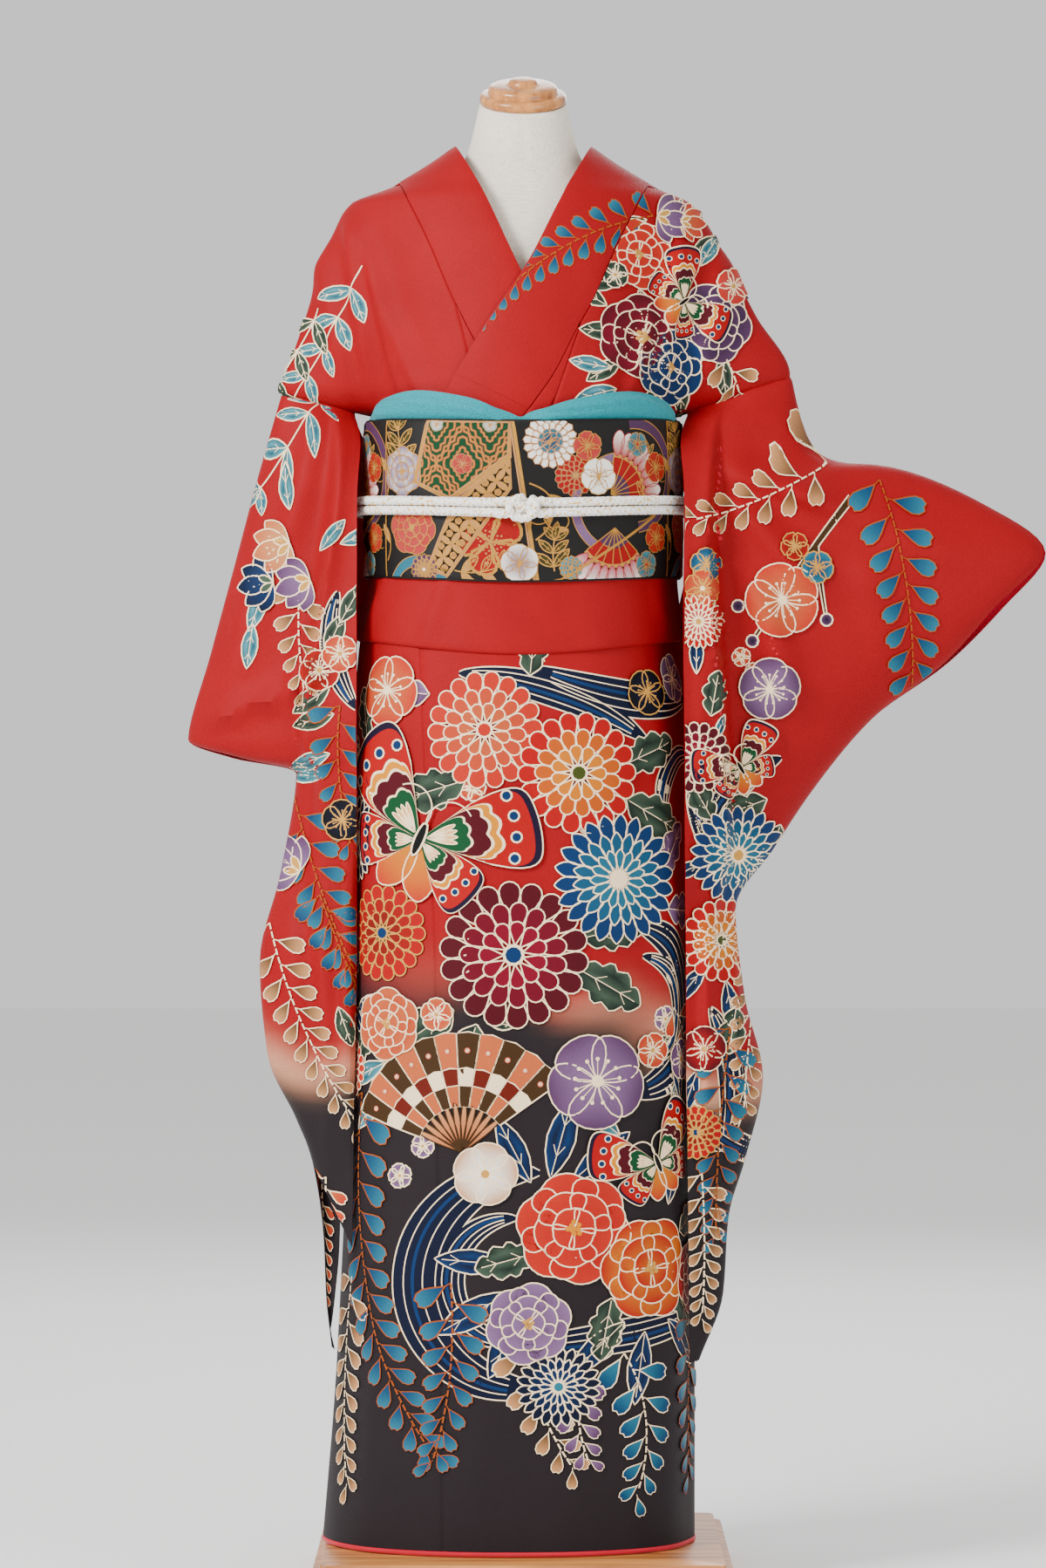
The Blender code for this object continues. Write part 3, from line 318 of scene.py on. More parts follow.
def ease(value, low, high):
    """Rise smoothly from 0 at low to 1 at high."""
    f = np.clip((value - low) / (high - low), 0.0, 1.0)
    return f * f * (3.0 - 2.0 * f)


def wander(x, z, size, seed):
    """Soft wandering value from -1 to 1: three sine waves that cross at odd angles."""
    a, b = x / size, z / size
    return (np.sin(2.1 * a + 1.3 * b + seed) + np.sin(-1.2 * a + 2.3 * b + 2.7 * seed)
            + np.sin(3.4 * a - 0.9 * b + 1.9 * seed)) / 3.0


def body(angle, z):
    """Point of the body surface: the power mean of a superellipse and a flat wing."""
    sine, cosine = np.sin(angle), np.cos(angle)
    width, depth, reach = (
        np.where(first, at_height(BODY, one, z), at_height(BODY, other, z))
        for first, one, other in ((sine < 0, "right", "left"), (cosine > 0, "front", "back"),
                                  (sine < 0, "wing_right", "wing_left")))
    power, flat = at_height(BODY, "power", z), at_height(BODY, "wing_depth", z)
    trunk = ((np.abs(sine) / width) ** power + (np.abs(cosine) / depth) ** power) ** (-1 / power)
    wing = ((np.abs(sine) / reach) ** WING_POWER
            + (np.abs(cosine) / flat) ** WING_POWER) ** (-1 / WING_POWER)
    radius = (trunk ** BLEND_POWER + wing ** BLEND_POWER) ** (1 / BLEND_POWER)
    x = at_height(BODY, "centre", z) + radius * sine
    return stacked(x, -radius * cosine, z + 0.0 * angle)


def worn(angle, z, out):
    """Point at a distance outwards from the body surface, along its own normal."""
    angle, z, out = np.broadcast_arrays(angle, z, out)
    step_angle, step_z = 0.02, 0.002
    along = body(angle + step_angle, z) - body(angle - step_angle, z)
    up = body(angle, z + step_z) - body(angle, z - step_z)
    return body(angle, z) + unit(np.cross(along, up)) * out[..., None]


HALVINGS = 22


def angle_at(x, z, front=True):
    """Angle at which the body surface has this x at this height, found by halving."""
    x, z = np.broadcast_arrays(np.asarray(x, float), np.asarray(z, float))
    low, high = np.full(x.shape, -0.5 * math.pi), np.full(x.shape, 0.5 * math.pi)
    for _ in range(HALVINGS):
        middle = 0.5 * (low + high)
        too_far = body(middle, z)[..., 0] > x
        low, high = np.where(too_far, low, middle), np.where(too_far, middle, high)
    middle = 0.5 * (low + high)
    return middle if front else np.where(middle > 0, math.pi - middle, -math.pi - middle)


# Angles over one and a half turns, of which this many steps are one turn
ONE_TURN = 960
TURNS = np.linspace(-math.pi, 2 * math.pi, 3 * ONE_TURN // 2 + 1)


def girth(z, out):
    """Distances along the cloth from the front centre, at the angles of TURNS."""
    loop = worn(TURNS, np.full(TURNS.shape, z), np.full(TURNS.shape, out))
    total = np.concatenate([[0.0], np.cumsum(np.linalg.norm(np.diff(loop, axis=0), axis=1))])
    return total - np.interp(0.0, TURNS, total)


SKIRT_GIRTH = girth(0.5, 0.0)
OBI_GIRTH = girth(1.04, OBI_OUT)


def rise(angle, amount):
    """Height gained from the front centre to the side, kept round the back."""
    return amount * np.where(np.cos(angle) > 0, np.sin(angle) ** 2, 1.0)


def ridges(creases, x, z):
    """Height of soft ridges: a bell curve across each line, which fades at its two ends."""
    height = np.zeros(np.broadcast(x, z).shape)
    for x0, z0, x1, z1, width, high in zip(*creases.values()):
        run = np.array([x1 - x0, z1 - z0])
        length = np.hypot(*run)
        along = ((x - x0) * run[0] + (z - z0) * run[1]) / length ** 2
        across = ((x - x0) * run[1] - (z - z0) * run[0]) / length
        side = np.where(across > 0, 1.0, 1.9)
        fade = ease(along, -0.25, 0.20) * (1.0 - ease(along, 0.70, 1.25))
        height = height + 1.5 * high * fade * np.exp(-(across / (width * side)) ** 2)
    return height


def new_material(name):
    """An empty material with nodes."""
    made = bpy.data.materials.new(name)
    made.use_nodes = True
    made.node_tree.nodes.clear()
    return made


def node(made, kind, links=(), **settings):
    """Add a node; settings name its properties, or its inputs by their label."""
    added = made.node_tree.nodes.new(kind)
    for key, value in settings.items():
        if hasattr(added, key):
            setattr(added, key, value)
        else:
            added.inputs[key.replace("_", " ")].default_value = value
    for socket, source in dict(links).items():
        made.node_tree.links.new(source, added.inputs[socket])
    return added


def finish_surface(made, shade, height=None, depth=0.0003, **settings):
    """Close a material with its shader, its colour and a bump of the given depth in metres."""
    links = {}
    if hasattr(shade, "node"):
        links["Base Color"] = shade
    else:
        settings["Base_Color"] = (*shade, 1.0)
    if height is not None:
        bump = node(made, "ShaderNodeBump", {"Height": height}, Distance=depth)
        links["Normal"] = bump.outputs["Normal"]
    shader = node(made, "ShaderNodeBsdfPrincipled", links, **settings)
    node(made, "ShaderNodeOutputMaterial", {"Surface": shader.outputs["BSDF"]})
    return made


def mixed(made, factor, first, second, blend="MIX"):
    """Blend two colours; each is a colour or another node's output."""
    added = node(made, "ShaderNodeMix", data_type="RGBA", blend_type=blend)
    for place, value in ((0, factor), (6, first), (7, second)):
        if hasattr(value, "node"):
            made.node_tree.links.new(value, added.inputs[place])
        else:
            added.inputs[place].default_value = value if place == 0 else (*value, 1.0)
    return added.outputs[2]


def texture(made, kind, output, stretch=(1.0, 1.0, 1.0), **settings):
    """A texture over the piece's own coordinates in metres, stretched by a scale."""
    at = node(made, "ShaderNodeTexCoord").outputs["Object"]
    place = node(made, "ShaderNodeMapping", {"Vector": at}, Scale=stretch).outputs["Vector"]
    return node(made, "ShaderNodeTex" + kind, {"Vector": place}, **settings).outputs[output]


def noise(made, size, detail=2.0, stretch=(1.0, 1.0, 1.0)):
    """Noise whose grains are about the given size in metres."""
    return texture(made, "Noise", "Fac", stretch, Scale=1.0 / size, Detail=detail)


def threads(made, pitch, axis, wavy=0.6, detail=1.0):
    """Parallel threads, one for each pitch, that run across the axis and wander a little."""
    return texture(made, "Wave", "Fac", wave_type="BANDS", bands_direction=axis,
                   Scale=0.314 / pitch, Distortion=wavy, Detail=detail)


def ranged(made, value, low, high, to_low=0.0, to_high=1.0):
    """A texture's values from low to high, spread over another range."""
    return node(made, "ShaderNodeMapRange", {"Value": value}, From_Min=low, From_Max=high,
                To_Min=to_low, To_Max=to_high).outputs["Result"]


def toned(made, shade, value, low, high):
    """A colour made darker or lighter where a texture is low or high."""
    tone = ranged(made, value, 0.3, 0.7, low, high)
    grey = node(made, "ShaderNodeCombineColor", {"Red": tone, "Green": tone, "Blue": tone})
    return mixed(made, 1.0, shade, grey.outputs["Color"], "MULTIPLY")


def summed(made, first, second):
    """The first texture plus the second one."""
    total = made.node_tree.nodes.new("ShaderNodeMath")
    total.operation = "MULTIPLY_ADD"
    made.node_tree.links.new(second, total.inputs[0])
    total.inputs[1].default_value = 1.0
    made.node_tree.links.new(first, total.inputs[2])
    return total.outputs[0]


def dye_of(made):
    """The colour that each point of a piece carries."""
    return node(made, "ShaderNodeVertexColor", layer_name="dye").outputs["Color"]


def dyed_crepe():
    """Hand-dyed silk crepe: its hard-twisted weft gives it a fine pebbled face with a soft
    shine, and the dye lies a little uneven, so large plain areas don't look flat."""
    made = new_material("dyed_silk_crepe")
    pebble = noise(made, sizes().crepe_pebble)
    shade = toned(made, dye_of(made), noise(made, 0.045, 3.0), 0.95, 1.04)
    return finish_surface(made, toned(made, shade, pebble, 0.93, 1.06), pebble, 0.0004,
                          Roughness=0.60, Sheen_Weight=0.02, Sheen_Roughness=0.4,
                          Specular_IOR_Level=0.14)


def lining_silk():
    """Plain-woven silk: fine even threads that cross, and a soft broad shine."""
    made = new_material("crimson_lining_silk")
    weave = summed(made, threads(made, 0.0009, "X"), threads(made, 0.0009, "Z"))
    shade = toned(made, colour("lining"), noise(made, 0.02, 3.0), 0.92, 1.06)
    return finish_surface(made, shade, weave, 0.00015, Roughness=0.5, Sheen_Weight=0.15,
                          Sheen_Roughness=0.4, Specular_IOR_Level=0.2)


def satin_ground():
    """Black satin of the sash: steep twill lines under the motifs, which catch little light."""
    made = new_material("black_satin_brocade")
    twill = threads(made, 0.0009, "DIAGONAL", 0.4, 2.0)
    shade = toned(made, colour("satin"), noise(made, 0.004), 0.8, 1.3)
    return finish_surface(made, shade, twill, 0.0002, Roughness=0.55, Specular_IOR_Level=0.25)


def woven_figure(name, metal, rough, pitch):
    """Figured wefts that lie over the satin: thick flat threads side by side, of silk or of
    paper covered with gold leaf, each with a painted sheen: brighter stripes along the threads."""
    made = new_material(name)
    lines = threads(made, pitch, "Z", 1.4)
    # Painted sheen: the colour is made 1.05 to 1.55 times as bright in stripes along the threads
    shade = toned(made, dye_of(made), lines, 1.05, 1.55)
    return finish_surface(made, toned(made, shade, noise(made, 0.0022), 0.9, 1.08), lines,
                          0.0005, Roughness=rough, Metallic=metal, Specular_IOR_Level=0.3)


def scarf_silk():
    """Scarf of tie-dyed silk: small crowded puckers over a smooth teal ground."""
    made = new_material("teal_scarf_silk")
    pucker = texture(made, "Voronoi", "Distance", Scale=1.0 / 0.0016)
    return finish_surface(made, toned(made, colour("scarf"), pucker, 1.06, 0.86), pucker, 0.0006,
                          Roughness=0.6, Sheen_Weight=0.15, Sheen_Roughness=0.4,
                          Specular_IOR_Level=0.2)


def braided_silk():
    """White braid with a few gold threads, which show as short flecks."""
    made = new_material("white_silk_braid")
    ply = noise(made, 0.0007, 1.0)
    fleck = ranged(made, noise(made, 0.0026, 0.0), 0.64, 0.67)
    shade = mixed(made, fleck, colour("braid"), colour("gold"))
    return finish_surface(made, toned(made, shade, ply, 0.86, 1.05), ply, 0.0002,
                          Roughness=0.5, Sheen_Weight=0.1, Specular_IOR_Level=0.3)


def slub_linen():
    """Unbleached linen: uneven threads, some of them thick and pale, cross each other."""
    made = new_material("cream_slub_linen")
    across, upright = (noise(made, sizes().linen_slub, 2.0, stretch)
                       for stretch in ((0.06, 1.0, 1.0), (1.0, 1.0, 0.06)))
    weave = summed(made, across, upright)
    shade = toned(made, colour("linen"), across, 0.84, 1.08)
    return finish_surface(made, toned(made, shade, upright, 0.86, 1.08), weave, 0.0005,
                          Roughness=0.92, Specular_IOR_Level=0.1)


def grained_wood(name, stretch, rough):
    """Varnished pale hardwood: long streaks of grain with fine pores, under a satin coat."""
    made = new_material(name)
    streak, pore = noise(made, 0.012, 4.0, stretch), noise(made, 0.0016, 2.0, stretch)
    dark = colour("wood") * (0.46, 0.36, 0.26)
    shade = mixed(made, ranged(made, streak, 0.38, 0.68), colour("wood"), dark)
    return finish_surface(made, toned(made, shade, pore, 0.86, 1.06), pore, 0.0001,
                          Roughness=rough, Coat_Weight=0.35, Coat_Roughness=0.25,
                          Specular_IOR_Level=0.4)


def drawn_steel():
    """Steel tube: fine lines along the tube from drawing it."""
    made = new_material("drawn_steel_tube")
    lines = noise(made, 0.0008, 2.0, (1.0, 1.0, 0.05))
    return finish_surface(made, toned(made, colour("steel"), lines, 0.9, 1.05), lines, 0.00005,
                          Metallic=1.0, Roughness=0.38)


FINISH = {}


def finish(name):
    """One of the finishes, all of which are made once."""
    if not FINISH:
        FINISH.update(
            crepe=dyed_crepe(), lining=lining_silk(), brocade=satin_ground(),
            silk_figure=woven_figure("silk_figure_threads", 0.0, 0.5, 0.0007),
            gold_figure=woven_figure("gold_leaf_threads", 0.55, 0.42, 0.0009),
            scarf=scarf_silk(), braid=braided_silk(), linen=slub_linen(),
            cap_wood=grained_wood("turned_honey_wood", (1.0, 1.0, 0.35), 0.25),
            base_wood=grained_wood("honey_wood_board", (0.05, 1.0, 1.0), 0.4),
            steel=drawn_steel())
    return FINISH[name]


# Motifs are drawn flat, in metres, u to the right and v up, as coloured faces.  Each point has
# a level, which lifts it over what lies under it, and each face says silk (0) or gold (1).

def tints(names):
    """The dyes or threads with these names."""
    return [INK[name] for name in names.split()]


def fine(share=1.0):
    """A share of the width of the pale resist lines."""
    return share * sizes().resist_line


def ways(turn):
    """Directions of length 1 at these angles."""
    return stacked(np.cos(turn), np.sin(turn))


def drawing(points, faces, shades, level, thread=0):
    """A drawing with one level and one thread, and a colour or one for each point."""
    points = np.asarray(points, float)
    return {"points": points, "faces": faces,
            "shades": np.array(np.broadcast_to(np.asarray(shades, float), (len(points), 3))),
            "level": np.full(len(points), float(level)),
            "thread": np.full(len(faces), thread)}


def joined(parts):
    """Several drawings as one."""
    starts = np.cumsum([0] + [len(part["points"]) for part in parts[:-1]])
    made = {key: np.concatenate([part[key] for part in parts])
            for key in ("points", "shades", "level", "thread")}
    made["faces"] = np.concatenate([part["faces"] + start for part, start in zip(parts, starts)])
    return made


def placed(part, x=0.0, z=0.0, turn=0.0, size=1.0, up=0.0):
    """Copies of a drawing, one for each place, each turned and scaled about its own origin."""
    x, z, turn, size, up = np.broadcast_arrays(*np.atleast_1d(x, z, turn, size, up))
    u, v = part["points"].T
    cosine, sine = (np.cos(turn) * size)[:, None], (np.sin(turn) * size)[:, None]
    points = stacked(x[:, None] + cosine * u - sine * v, z[:, None] + sine * u + cosine * v)
    count, each = len(x), len(u)
    faces = part["faces"][None] + (np.arange(count) * each)[:, None, None]
    return {"points": points.reshape(-1, 2), "faces": faces.reshape(-1, 3),
            "shades": np.tile(part["shades"], (count, 1)),
            "level": (part["level"][None] + up[:, None]).ravel(),
            "thread": np.tile(part["thread"], count)}


def changed(part, scale=1.0, shift=0.0):
    """The same drawing with its points scaled and then shifted."""
    return dict(part, points=part["points"] * scale + shift)


def filled(outline, inner, edge, level=0.0, centre=None):
    """Filled outline: a fan from a centre, whose colour runs from the middle to the edge."""
    outline = np.asarray(outline, float)
    middle = outline.mean(axis=0) if centre is None else np.asarray(centre, float)
    count = len(outline)
    j = np.arange(count)
    shades = np.concatenate([inner[None], np.tile(edge, (count, 1))])
    return drawing(np.concatenate([middle[None], outline]),
                   stacked(0 * j, 1 + j, 1 + (j + 1) % count), shades, level)


def line(path, width, shade, level=1.0, closed=False, thread=0):
    """Ribbon of a width, or a width for each point, along a path."""
    path = np.asarray(path, float)
    ahead = np.roll(path, -1, 0) if closed else np.concatenate([path[1:], path[-1:]])
    behind = np.roll(path, 1, 0) if closed else np.concatenate([path[:1], path[:-1]])
    way = unit(ahead - behind)
    half = 0.5 * np.broadcast_to(width, (len(path),))[:, None]
    side = stacked(-way[:, 1], way[:, 0]) * half
    count = len(path)
    j = np.arange(count if closed else count - 1)
    k = (j + 1) % count
    faces = np.concatenate([stacked(j + count, k + count, k), stacked(j + count, k, j)])
    return drawing(np.concatenate([path + side, path - side]), faces, shade, level, thread)


def disc(radius, inner, edge, level, count=10, ratio=1.0):
    """Filled ellipse; the ratio is its height to its width."""
    turn = np.linspace(0.0, 2 * math.pi, count + 1)[:-1]
    outline = stacked(radius * np.cos(turn), radius * ratio * np.sin(turn))
    return filled(outline, inner, edge, level)


def petal_outline(length, width, widest=0.6, blunt=0.6, steps=6):
    """Outline of a petal that starts at the origin: its half width is a power of a sine."""
    t = 0.5 - 0.5 * np.cos(math.pi * np.arange(steps + 1) / steps)
    warped = t ** (math.log(0.5) / math.log(widest))
    right = stacked(0.5 * width * np.sin(math.pi * warped) ** blunt, t * length)
    return np.concatenate([right, (right * (-1.0, 1.0))[-2:0:-1]])


def lobed_outline(length, width, lobes, depth=0.16):
    """Outline that starts at the origin and ends in a round top with lobes."""
    turn = np.linspace(-0.12 * math.pi, 1.12 * math.pi, 4 * lobes + 3)
    swell = 1.0 + depth * (np.abs(np.cos(0.5 * lobes * (turn - 0.5 * math.pi))) ** 0.7 - 0.6)
    top = stacked(0.5 * width * swell * np.cos(turn),
                  0.62 * length + 0.38 * length * swell * np.sin(turn))
    return np.concatenate([[(0.0, 0.0)], top])


def edged(outline, base, tip, border, width=None, level=0.0, centre=None, thread=0):
    """Filled outline whose colour runs from its base to its tip, with a line round it."""
    outline = np.asarray(outline, float)
    inside = filled(outline, base, tip, level, centre)
    share = np.clip(inside["points"][:, 1:] / outline[:, 1].max(), 0.0, 1.0) ** 1.3
    inside["shades"] = base * (1 - share) + tip * share
    width = fine() if width is None else width
    return joined([inside, line(outline, width, border, level + 0.6, True, thread)])


def petal(length, wide, base, tip, border, widest=0.6, blunt=0.6, level=0.0, **more):
    """Petal from the origin up, with more points to its outline where it is long."""
    steps = int(np.clip(length / 0.003, 4, 10))
    return edged(petal_outline(length, wide, widest, blunt, steps), base, tip, border,
                 level=level, centre=(0.0, length * widest), **more)


def ring_of(part, count, radius=0.0, start=0.0):
    """Copies of a part round a centre, each pointing away from it."""
    turn = start + np.arange(count) * 2 * math.pi / count
    return placed(part, -radius * np.sin(turn), radius * np.cos(turn), turn)


def chrysanthemum(radius, base, tip, border, heart, petals=18, pointed=False, **gold):
    """Three rings of petals, each over the last, round a small heart."""
    shape = {"widest": 0.62, "blunt": 0.75} if pointed else {"widest": 0.74, "blunt": 0.5}
    parts = []
    for ring, (reach, start, count) in enumerate(((0.56, 0.44, petals), (0.50, 0.22, petals - 3),
                                                  (0.34, 0.12, petals - 7))):
        wide = 2.0 * math.pi * radius * (start + 0.7 * reach) / count
        pale = 0.35 * ring
        one = petal(reach * radius, wide, base * pale + tip * (1 - pale),
                    tip * (1 - pale) + base * pale, border, level=1.6 * ring, **gold, **shape)
        parts.append(ring_of(one, count, start * radius, 0.17 * ring))
    parts += [disc(0.15 * radius, border, border, 5.0), disc(0.11 * radius, heart, heart, 5.6)]
    return joined(parts)


def pointed(radius, *shades):
    """Chrysanthemum with more petals, which end in points."""
    return chrysanthemum(radius, *shades, petals=22, pointed=True)


def plum_blossom(radius, base, tip, border, heart, thread=0, width=None):
    """Five round petals, and stamens like a star with a dot at each end."""
    outer = petal(0.98 * radius, 1.10 * radius, base, tip, border, 0.62, 0.46, thread=thread,
                  width=width)
    thin = 0.6 * (fine() if width is None else width)
    stamen = joined([line([(0.0, 0.10 * radius), (0.0, 0.44 * radius)], thin, border, 1.4),
                     placed(disc(0.045 * radius, border, border, 1.6, 6), 0.0, 0.46 * radius)])
    return joined([ring_of(outer, 5, 0.02 * radius), ring_of(stamen, 13, 0.0, 0.1),
                   disc(0.13 * radius, heart, heart, 2.0)])


def peony(radius, base, tip, border, heart, thread=0, width=None):
    """Three rings of lobed petals, smaller and paler towards a tuft of stamens."""
    parts = []
    for ring, (reach, count, wide) in enumerate(((1.0, 6, 1.10), (0.68, 5, 0.84),
                                                 (0.38, 4, 0.50))):
        pale = 0.30 * ring
        one = edged(lobed_outline(reach * radius, wide * radius, 4, 0.22),
                    base * (1 - pale) + tip * pale, tip, border, width, 1.6 * ring, thread=thread)
        parts.append(ring_of(one, count, 0.0, 0.45 * ring))
    step = np.arange(9)
    reach = np.sqrt(step / 8.0)
    tuft = placed(disc(0.05 * radius, heart, heart, 5.2, 6),
                  0.13 * radius * np.cos(step * 2.4) * reach,
                  0.13 * radius * np.sin(step * 2.4) * reach)
    return joined(parts + [tuft])


def bellflower(radius, base, tip, border, heart):
    """Open bell seen from the side: five pointed lobes in a fan over two small sepals."""
    one = petal(radius, 0.52 * radius, base, tip, border, 0.58, 0.75)
    turn = np.array((-1.05, 1.05, -0.55, 0.55, 0.0))
    lobes = placed(one, 0.0, 0.0, turn, (0.86, 0.86, 0.96, 0.96, 1.0), (0.0, 0.0, 1.2, 1.2, 2.4))
    sepal = petal(0.42 * radius, 0.20 * radius, heart, heart, border, level=3.6)
    return joined([lobes, placed(sepal, 0.0, 0.0, (-0.5, 0.5))])


def leaf(length, width, light, dark, border, lobes=0):
    """Leaf whose two halves differ in shade, with a midrib and slanting veins; its sides may
    be cut into round lobes."""
    outline = petal_outline(length, width, 0.50, 0.62 if lobes else 0.85, 22 if lobes else 8)
    if lobes:
        outline[:, 0] *= 0.62 + 0.56 * np.abs(np.sin(
            math.pi * (lobes * outline[:, 1] / length - 0.1))) ** 0.6
    half = len(outline) // 2
    right, left = outline[:half + 1], np.concatenate([outline[half:], outline[:1]])
    rib = line([(0.0, 0.04 * length), (0.0, 0.9 * length)], fine(0.6), border, 0.8)
    vein = line([(0.0, 0.0), (0.20 * width, 0.13 * length)], fine(0.5), border, 0.8)
    veins = placed(vein, 0.0, np.array((0.28, 0.66)) * length)
    return joined([filled(right, light, dark), filled(left, dark, light),
                   line(outline, fine(), border, 0.6, True), rib, veins,
                   changed(veins, (-1.0, 1.0))])


def floret(length, base, tip, border):
    """Hanging blossom of a wisteria: a drop with a notch in its round end."""
    outline = petal_outline(length, 0.52 * length, 0.68, 0.66, 7)
    outline[:, 1] -= 0.10 * length * np.exp(-(outline[:, 0] / (0.06 * length)) ** 2) * (
        outline[:, 1] > 0.8 * length)
    return edged(outline, base, tip, border)


def curve(x, z, direction, length, bend, steps):
    """Points along an arc: the direction turns evenly by the bend over the length."""
    turn = direction + bend * np.linspace(0.0, 1.0, steps)
    step = length / (steps - 1)
    return np.array((x, z)) + np.concatenate([[(0.0, 0.0)],
                                              np.cumsum((ways(turn) * step)[:-1], axis=0)])


def raceme(x, z, length, direction, bend, base, tip, border, size):
    """Hanging spray of florets, in pairs that shrink towards its end, on a beaded stalk."""
    path = curve(x, z, direction * DEG, length, bend * DEG, 40)
    knots = np.linspace(0.0, 1.0, 40)

    def on_path(share):
        return np.interp(share, knots, path[:, 0]), np.interp(share, knots, path[:, 1])
    count = int(2 * length / (0.64 * size))
    share = np.linspace(0.0, 1.0, count) ** 0.86
    side = np.where(np.arange(count) % 2, 1.0, -1.0)
    turn = (direction + bend * share) * DEG - 0.5 * math.pi + side * (1.10 - 0.50 * share)
    one = placed(floret(size, base, tip, border), 0.0, 0.16 * size)
    stalk = line([(0.0, 0.0), (0.0, 0.18 * size)], fine(0.8), border, 0.2)
    flowers = placed(joined([one, stalk]), *on_path(share), turn, 1.0 - 0.42 * share,
                     np.arange(count) % 3 * 1.1)
    beads_at = np.arange(0.0, 0.96, 0.0085 / length)
    beads = placed(line([(0.0, 0.0), (0.0, 0.0062)], fine(1.2), border, 3.4),
                   *on_path(beads_at), (direction - 90.0 + bend * beads_at) * DEG)
    return joined([flowers, beads])


def leaf_spray(x, z, length, direction, bend, light, dark, border, pairs, size):
    """Stalk with pairs of leaves and one at its end."""
    path = curve(x, z, direction * DEG, length, bend * DEG, 20)
    at = np.linspace(3.0, 19.0, pairs)
    px, pz = (np.interp(at, np.arange(20), column) for column in path.T)
    way = (direction + bend * at / 19.0) * DEG - 0.5 * math.pi
    one = leaf(size, 0.40 * size, light, dark, border)
    scale = np.linspace(1.0, 0.72, pairs)
    return joined([placed(one, px, pz, way - 0.85, scale), placed(one, px, pz, way + 0.85, scale,
                                                                  0.8),
                   placed(one, px[-1], pz[-1], way[-1], 0.8, 1.6), line(path, fine(), border, 2.6)])


def branch(x, z, length, direction, bend, width, inner, border):
    """Tapering branch with two twigs, and round buds at their ends."""
    parts = []
    bud = joined([disc(0.0068, border, border, 1.4), disc(0.0052, *tints("plum mauve"), 2.0)])
    for start, turn, reach, wide in ((0.0, 0.0, 1.0, 1.0), (0.35, 38.0, 0.42, 0.6),
                                     (0.62, -42.0, 0.34, 0.5)):
        root = curve(x, z, direction * DEG, length, bend * DEG, 21)[int(start * 20)]
        way = (direction + bend * start + turn) * DEG
        path = curve(*root, way, length * reach, 0.5 * bend * DEG, 14)
        taper = width * wide * np.linspace(1.0, 0.30, 14)
        parts += [line(path, taper + fine(2), border, 0.0), line(path, taper, inner, 0.7),
                  placed(bud, *path[-1])]
    return joined(parts)


def butterfly(span):
    """Butterfly with long banded wings, round spots, a dark body and curled feelers."""
    cream, yellow = tints("cream yellow")
    turn = np.linspace(-0.46, 0.46, 34)
    reach = 0.58 * span * (1.0 - 0.40 * np.abs(turn / 0.46) ** 7 + 0.10 * turn)
    wing = np.concatenate([[(0.0, 0.0)], stacked(reach * np.sin(turn), reach * np.cos(turn))])
    scallop = 1.0 + 0.07 * np.abs(np.sin(3.5 * math.pi * np.arange(35) / 34.0))[:, None]
    bands = (("plum", 1.0), ("red", 0.94), ("cream", 0.655), ("yellow", 0.63), ("cream", 0.575),
             ("wine", 0.55), ("cream", 0.42), ("green", 0.40))
    upper = [filled(wing * share * (scallop if n > 1 else 1.0), INK[name], INK[name], 1.3 * n,
                    (0.0, 0.3 * span * share)) for n, (name, share) in enumerate(bands)]
    at = np.array((-0.33, -0.11, 0.11, 0.33))
    spots = placed(joined([disc(0.030 * span, cream, cream, 2.7),
                           disc(0.021 * span, *tints("blue blue"), 4.0)]),
                   0.465 * span * np.sin(at), 0.465 * span * np.cos(at))
    rays = placed(petal(0.15 * span, 0.022 * span, cream, yellow, cream, level=10.5), 0.0,
                  0.04 * span, (-0.3, -0.1, 0.1, 0.3))
    wing = joined(upper + [line(wing, fine(), cream, 1.0, True), spots, rays])
    tail = petal(0.30 * span, 0.17 * span, yellow, INK["coral"], cream)
    feeler = line(curve(0.0, 0.08 * span, 1.35, 0.30 * span, 2.6, 16), fine(), cream, 6.4)
    core = joined([disc(0.030 * span, cream, cream, 6.0, 12, 3.0),
                   disc(0.019 * span, *tints("black black"), 6.6, 12, 4.2)])
    return joined([placed(tail, 0.0, 0.0, (2.75, -2.75)),
                   placed(wing, 0.0, 0.0, (-2.00, 2.00), 0.66, 0.4),
                   placed(wing, 0.0, 0.0, (-1.02, 1.02), 1.0, 5.0), placed(core, up=11.0),
                   placed(feeler, up=11.0), placed(changed(feeler, (-1.0, 1.0)), up=11.0)])


def water(x, z, length, direction, bend, width):
    """Flowing water: a dark band that narrows into a curl, with pale lines along it."""
    cream, navy, blue = tints("cream navy blue")
    path = curve(x, z, direction * DEG, length, bend * DEG, 48)
    taper = width * np.sin(math.pi * np.linspace(0.004, 0.985, 48)) ** 0.6
    way = unit(np.gradient(path, axis=0))
    side = stacked(-way[:, 1], way[:, 0])
    lanes = [line((path + side * (taper * share)[:, None])[3:-4], fine(wide * 0.8), shade, 1.4)
             for share, wide, shade in ((-0.30, 1, cream), (-0.13, 3, blue), (0.06, 1, cream),
                                        (0.30, 1, cream))]
    curl = curve(*path[-1], (direction + bend) * DEG, 0.9 * width, math.copysign(4.4, bend), 16)
    return joined([line(path, taper + fine(2), cream, 0.0), line(path, taper, navy, 0.7), *lanes,
                   line(curl, fine(), cream, 1.0)])


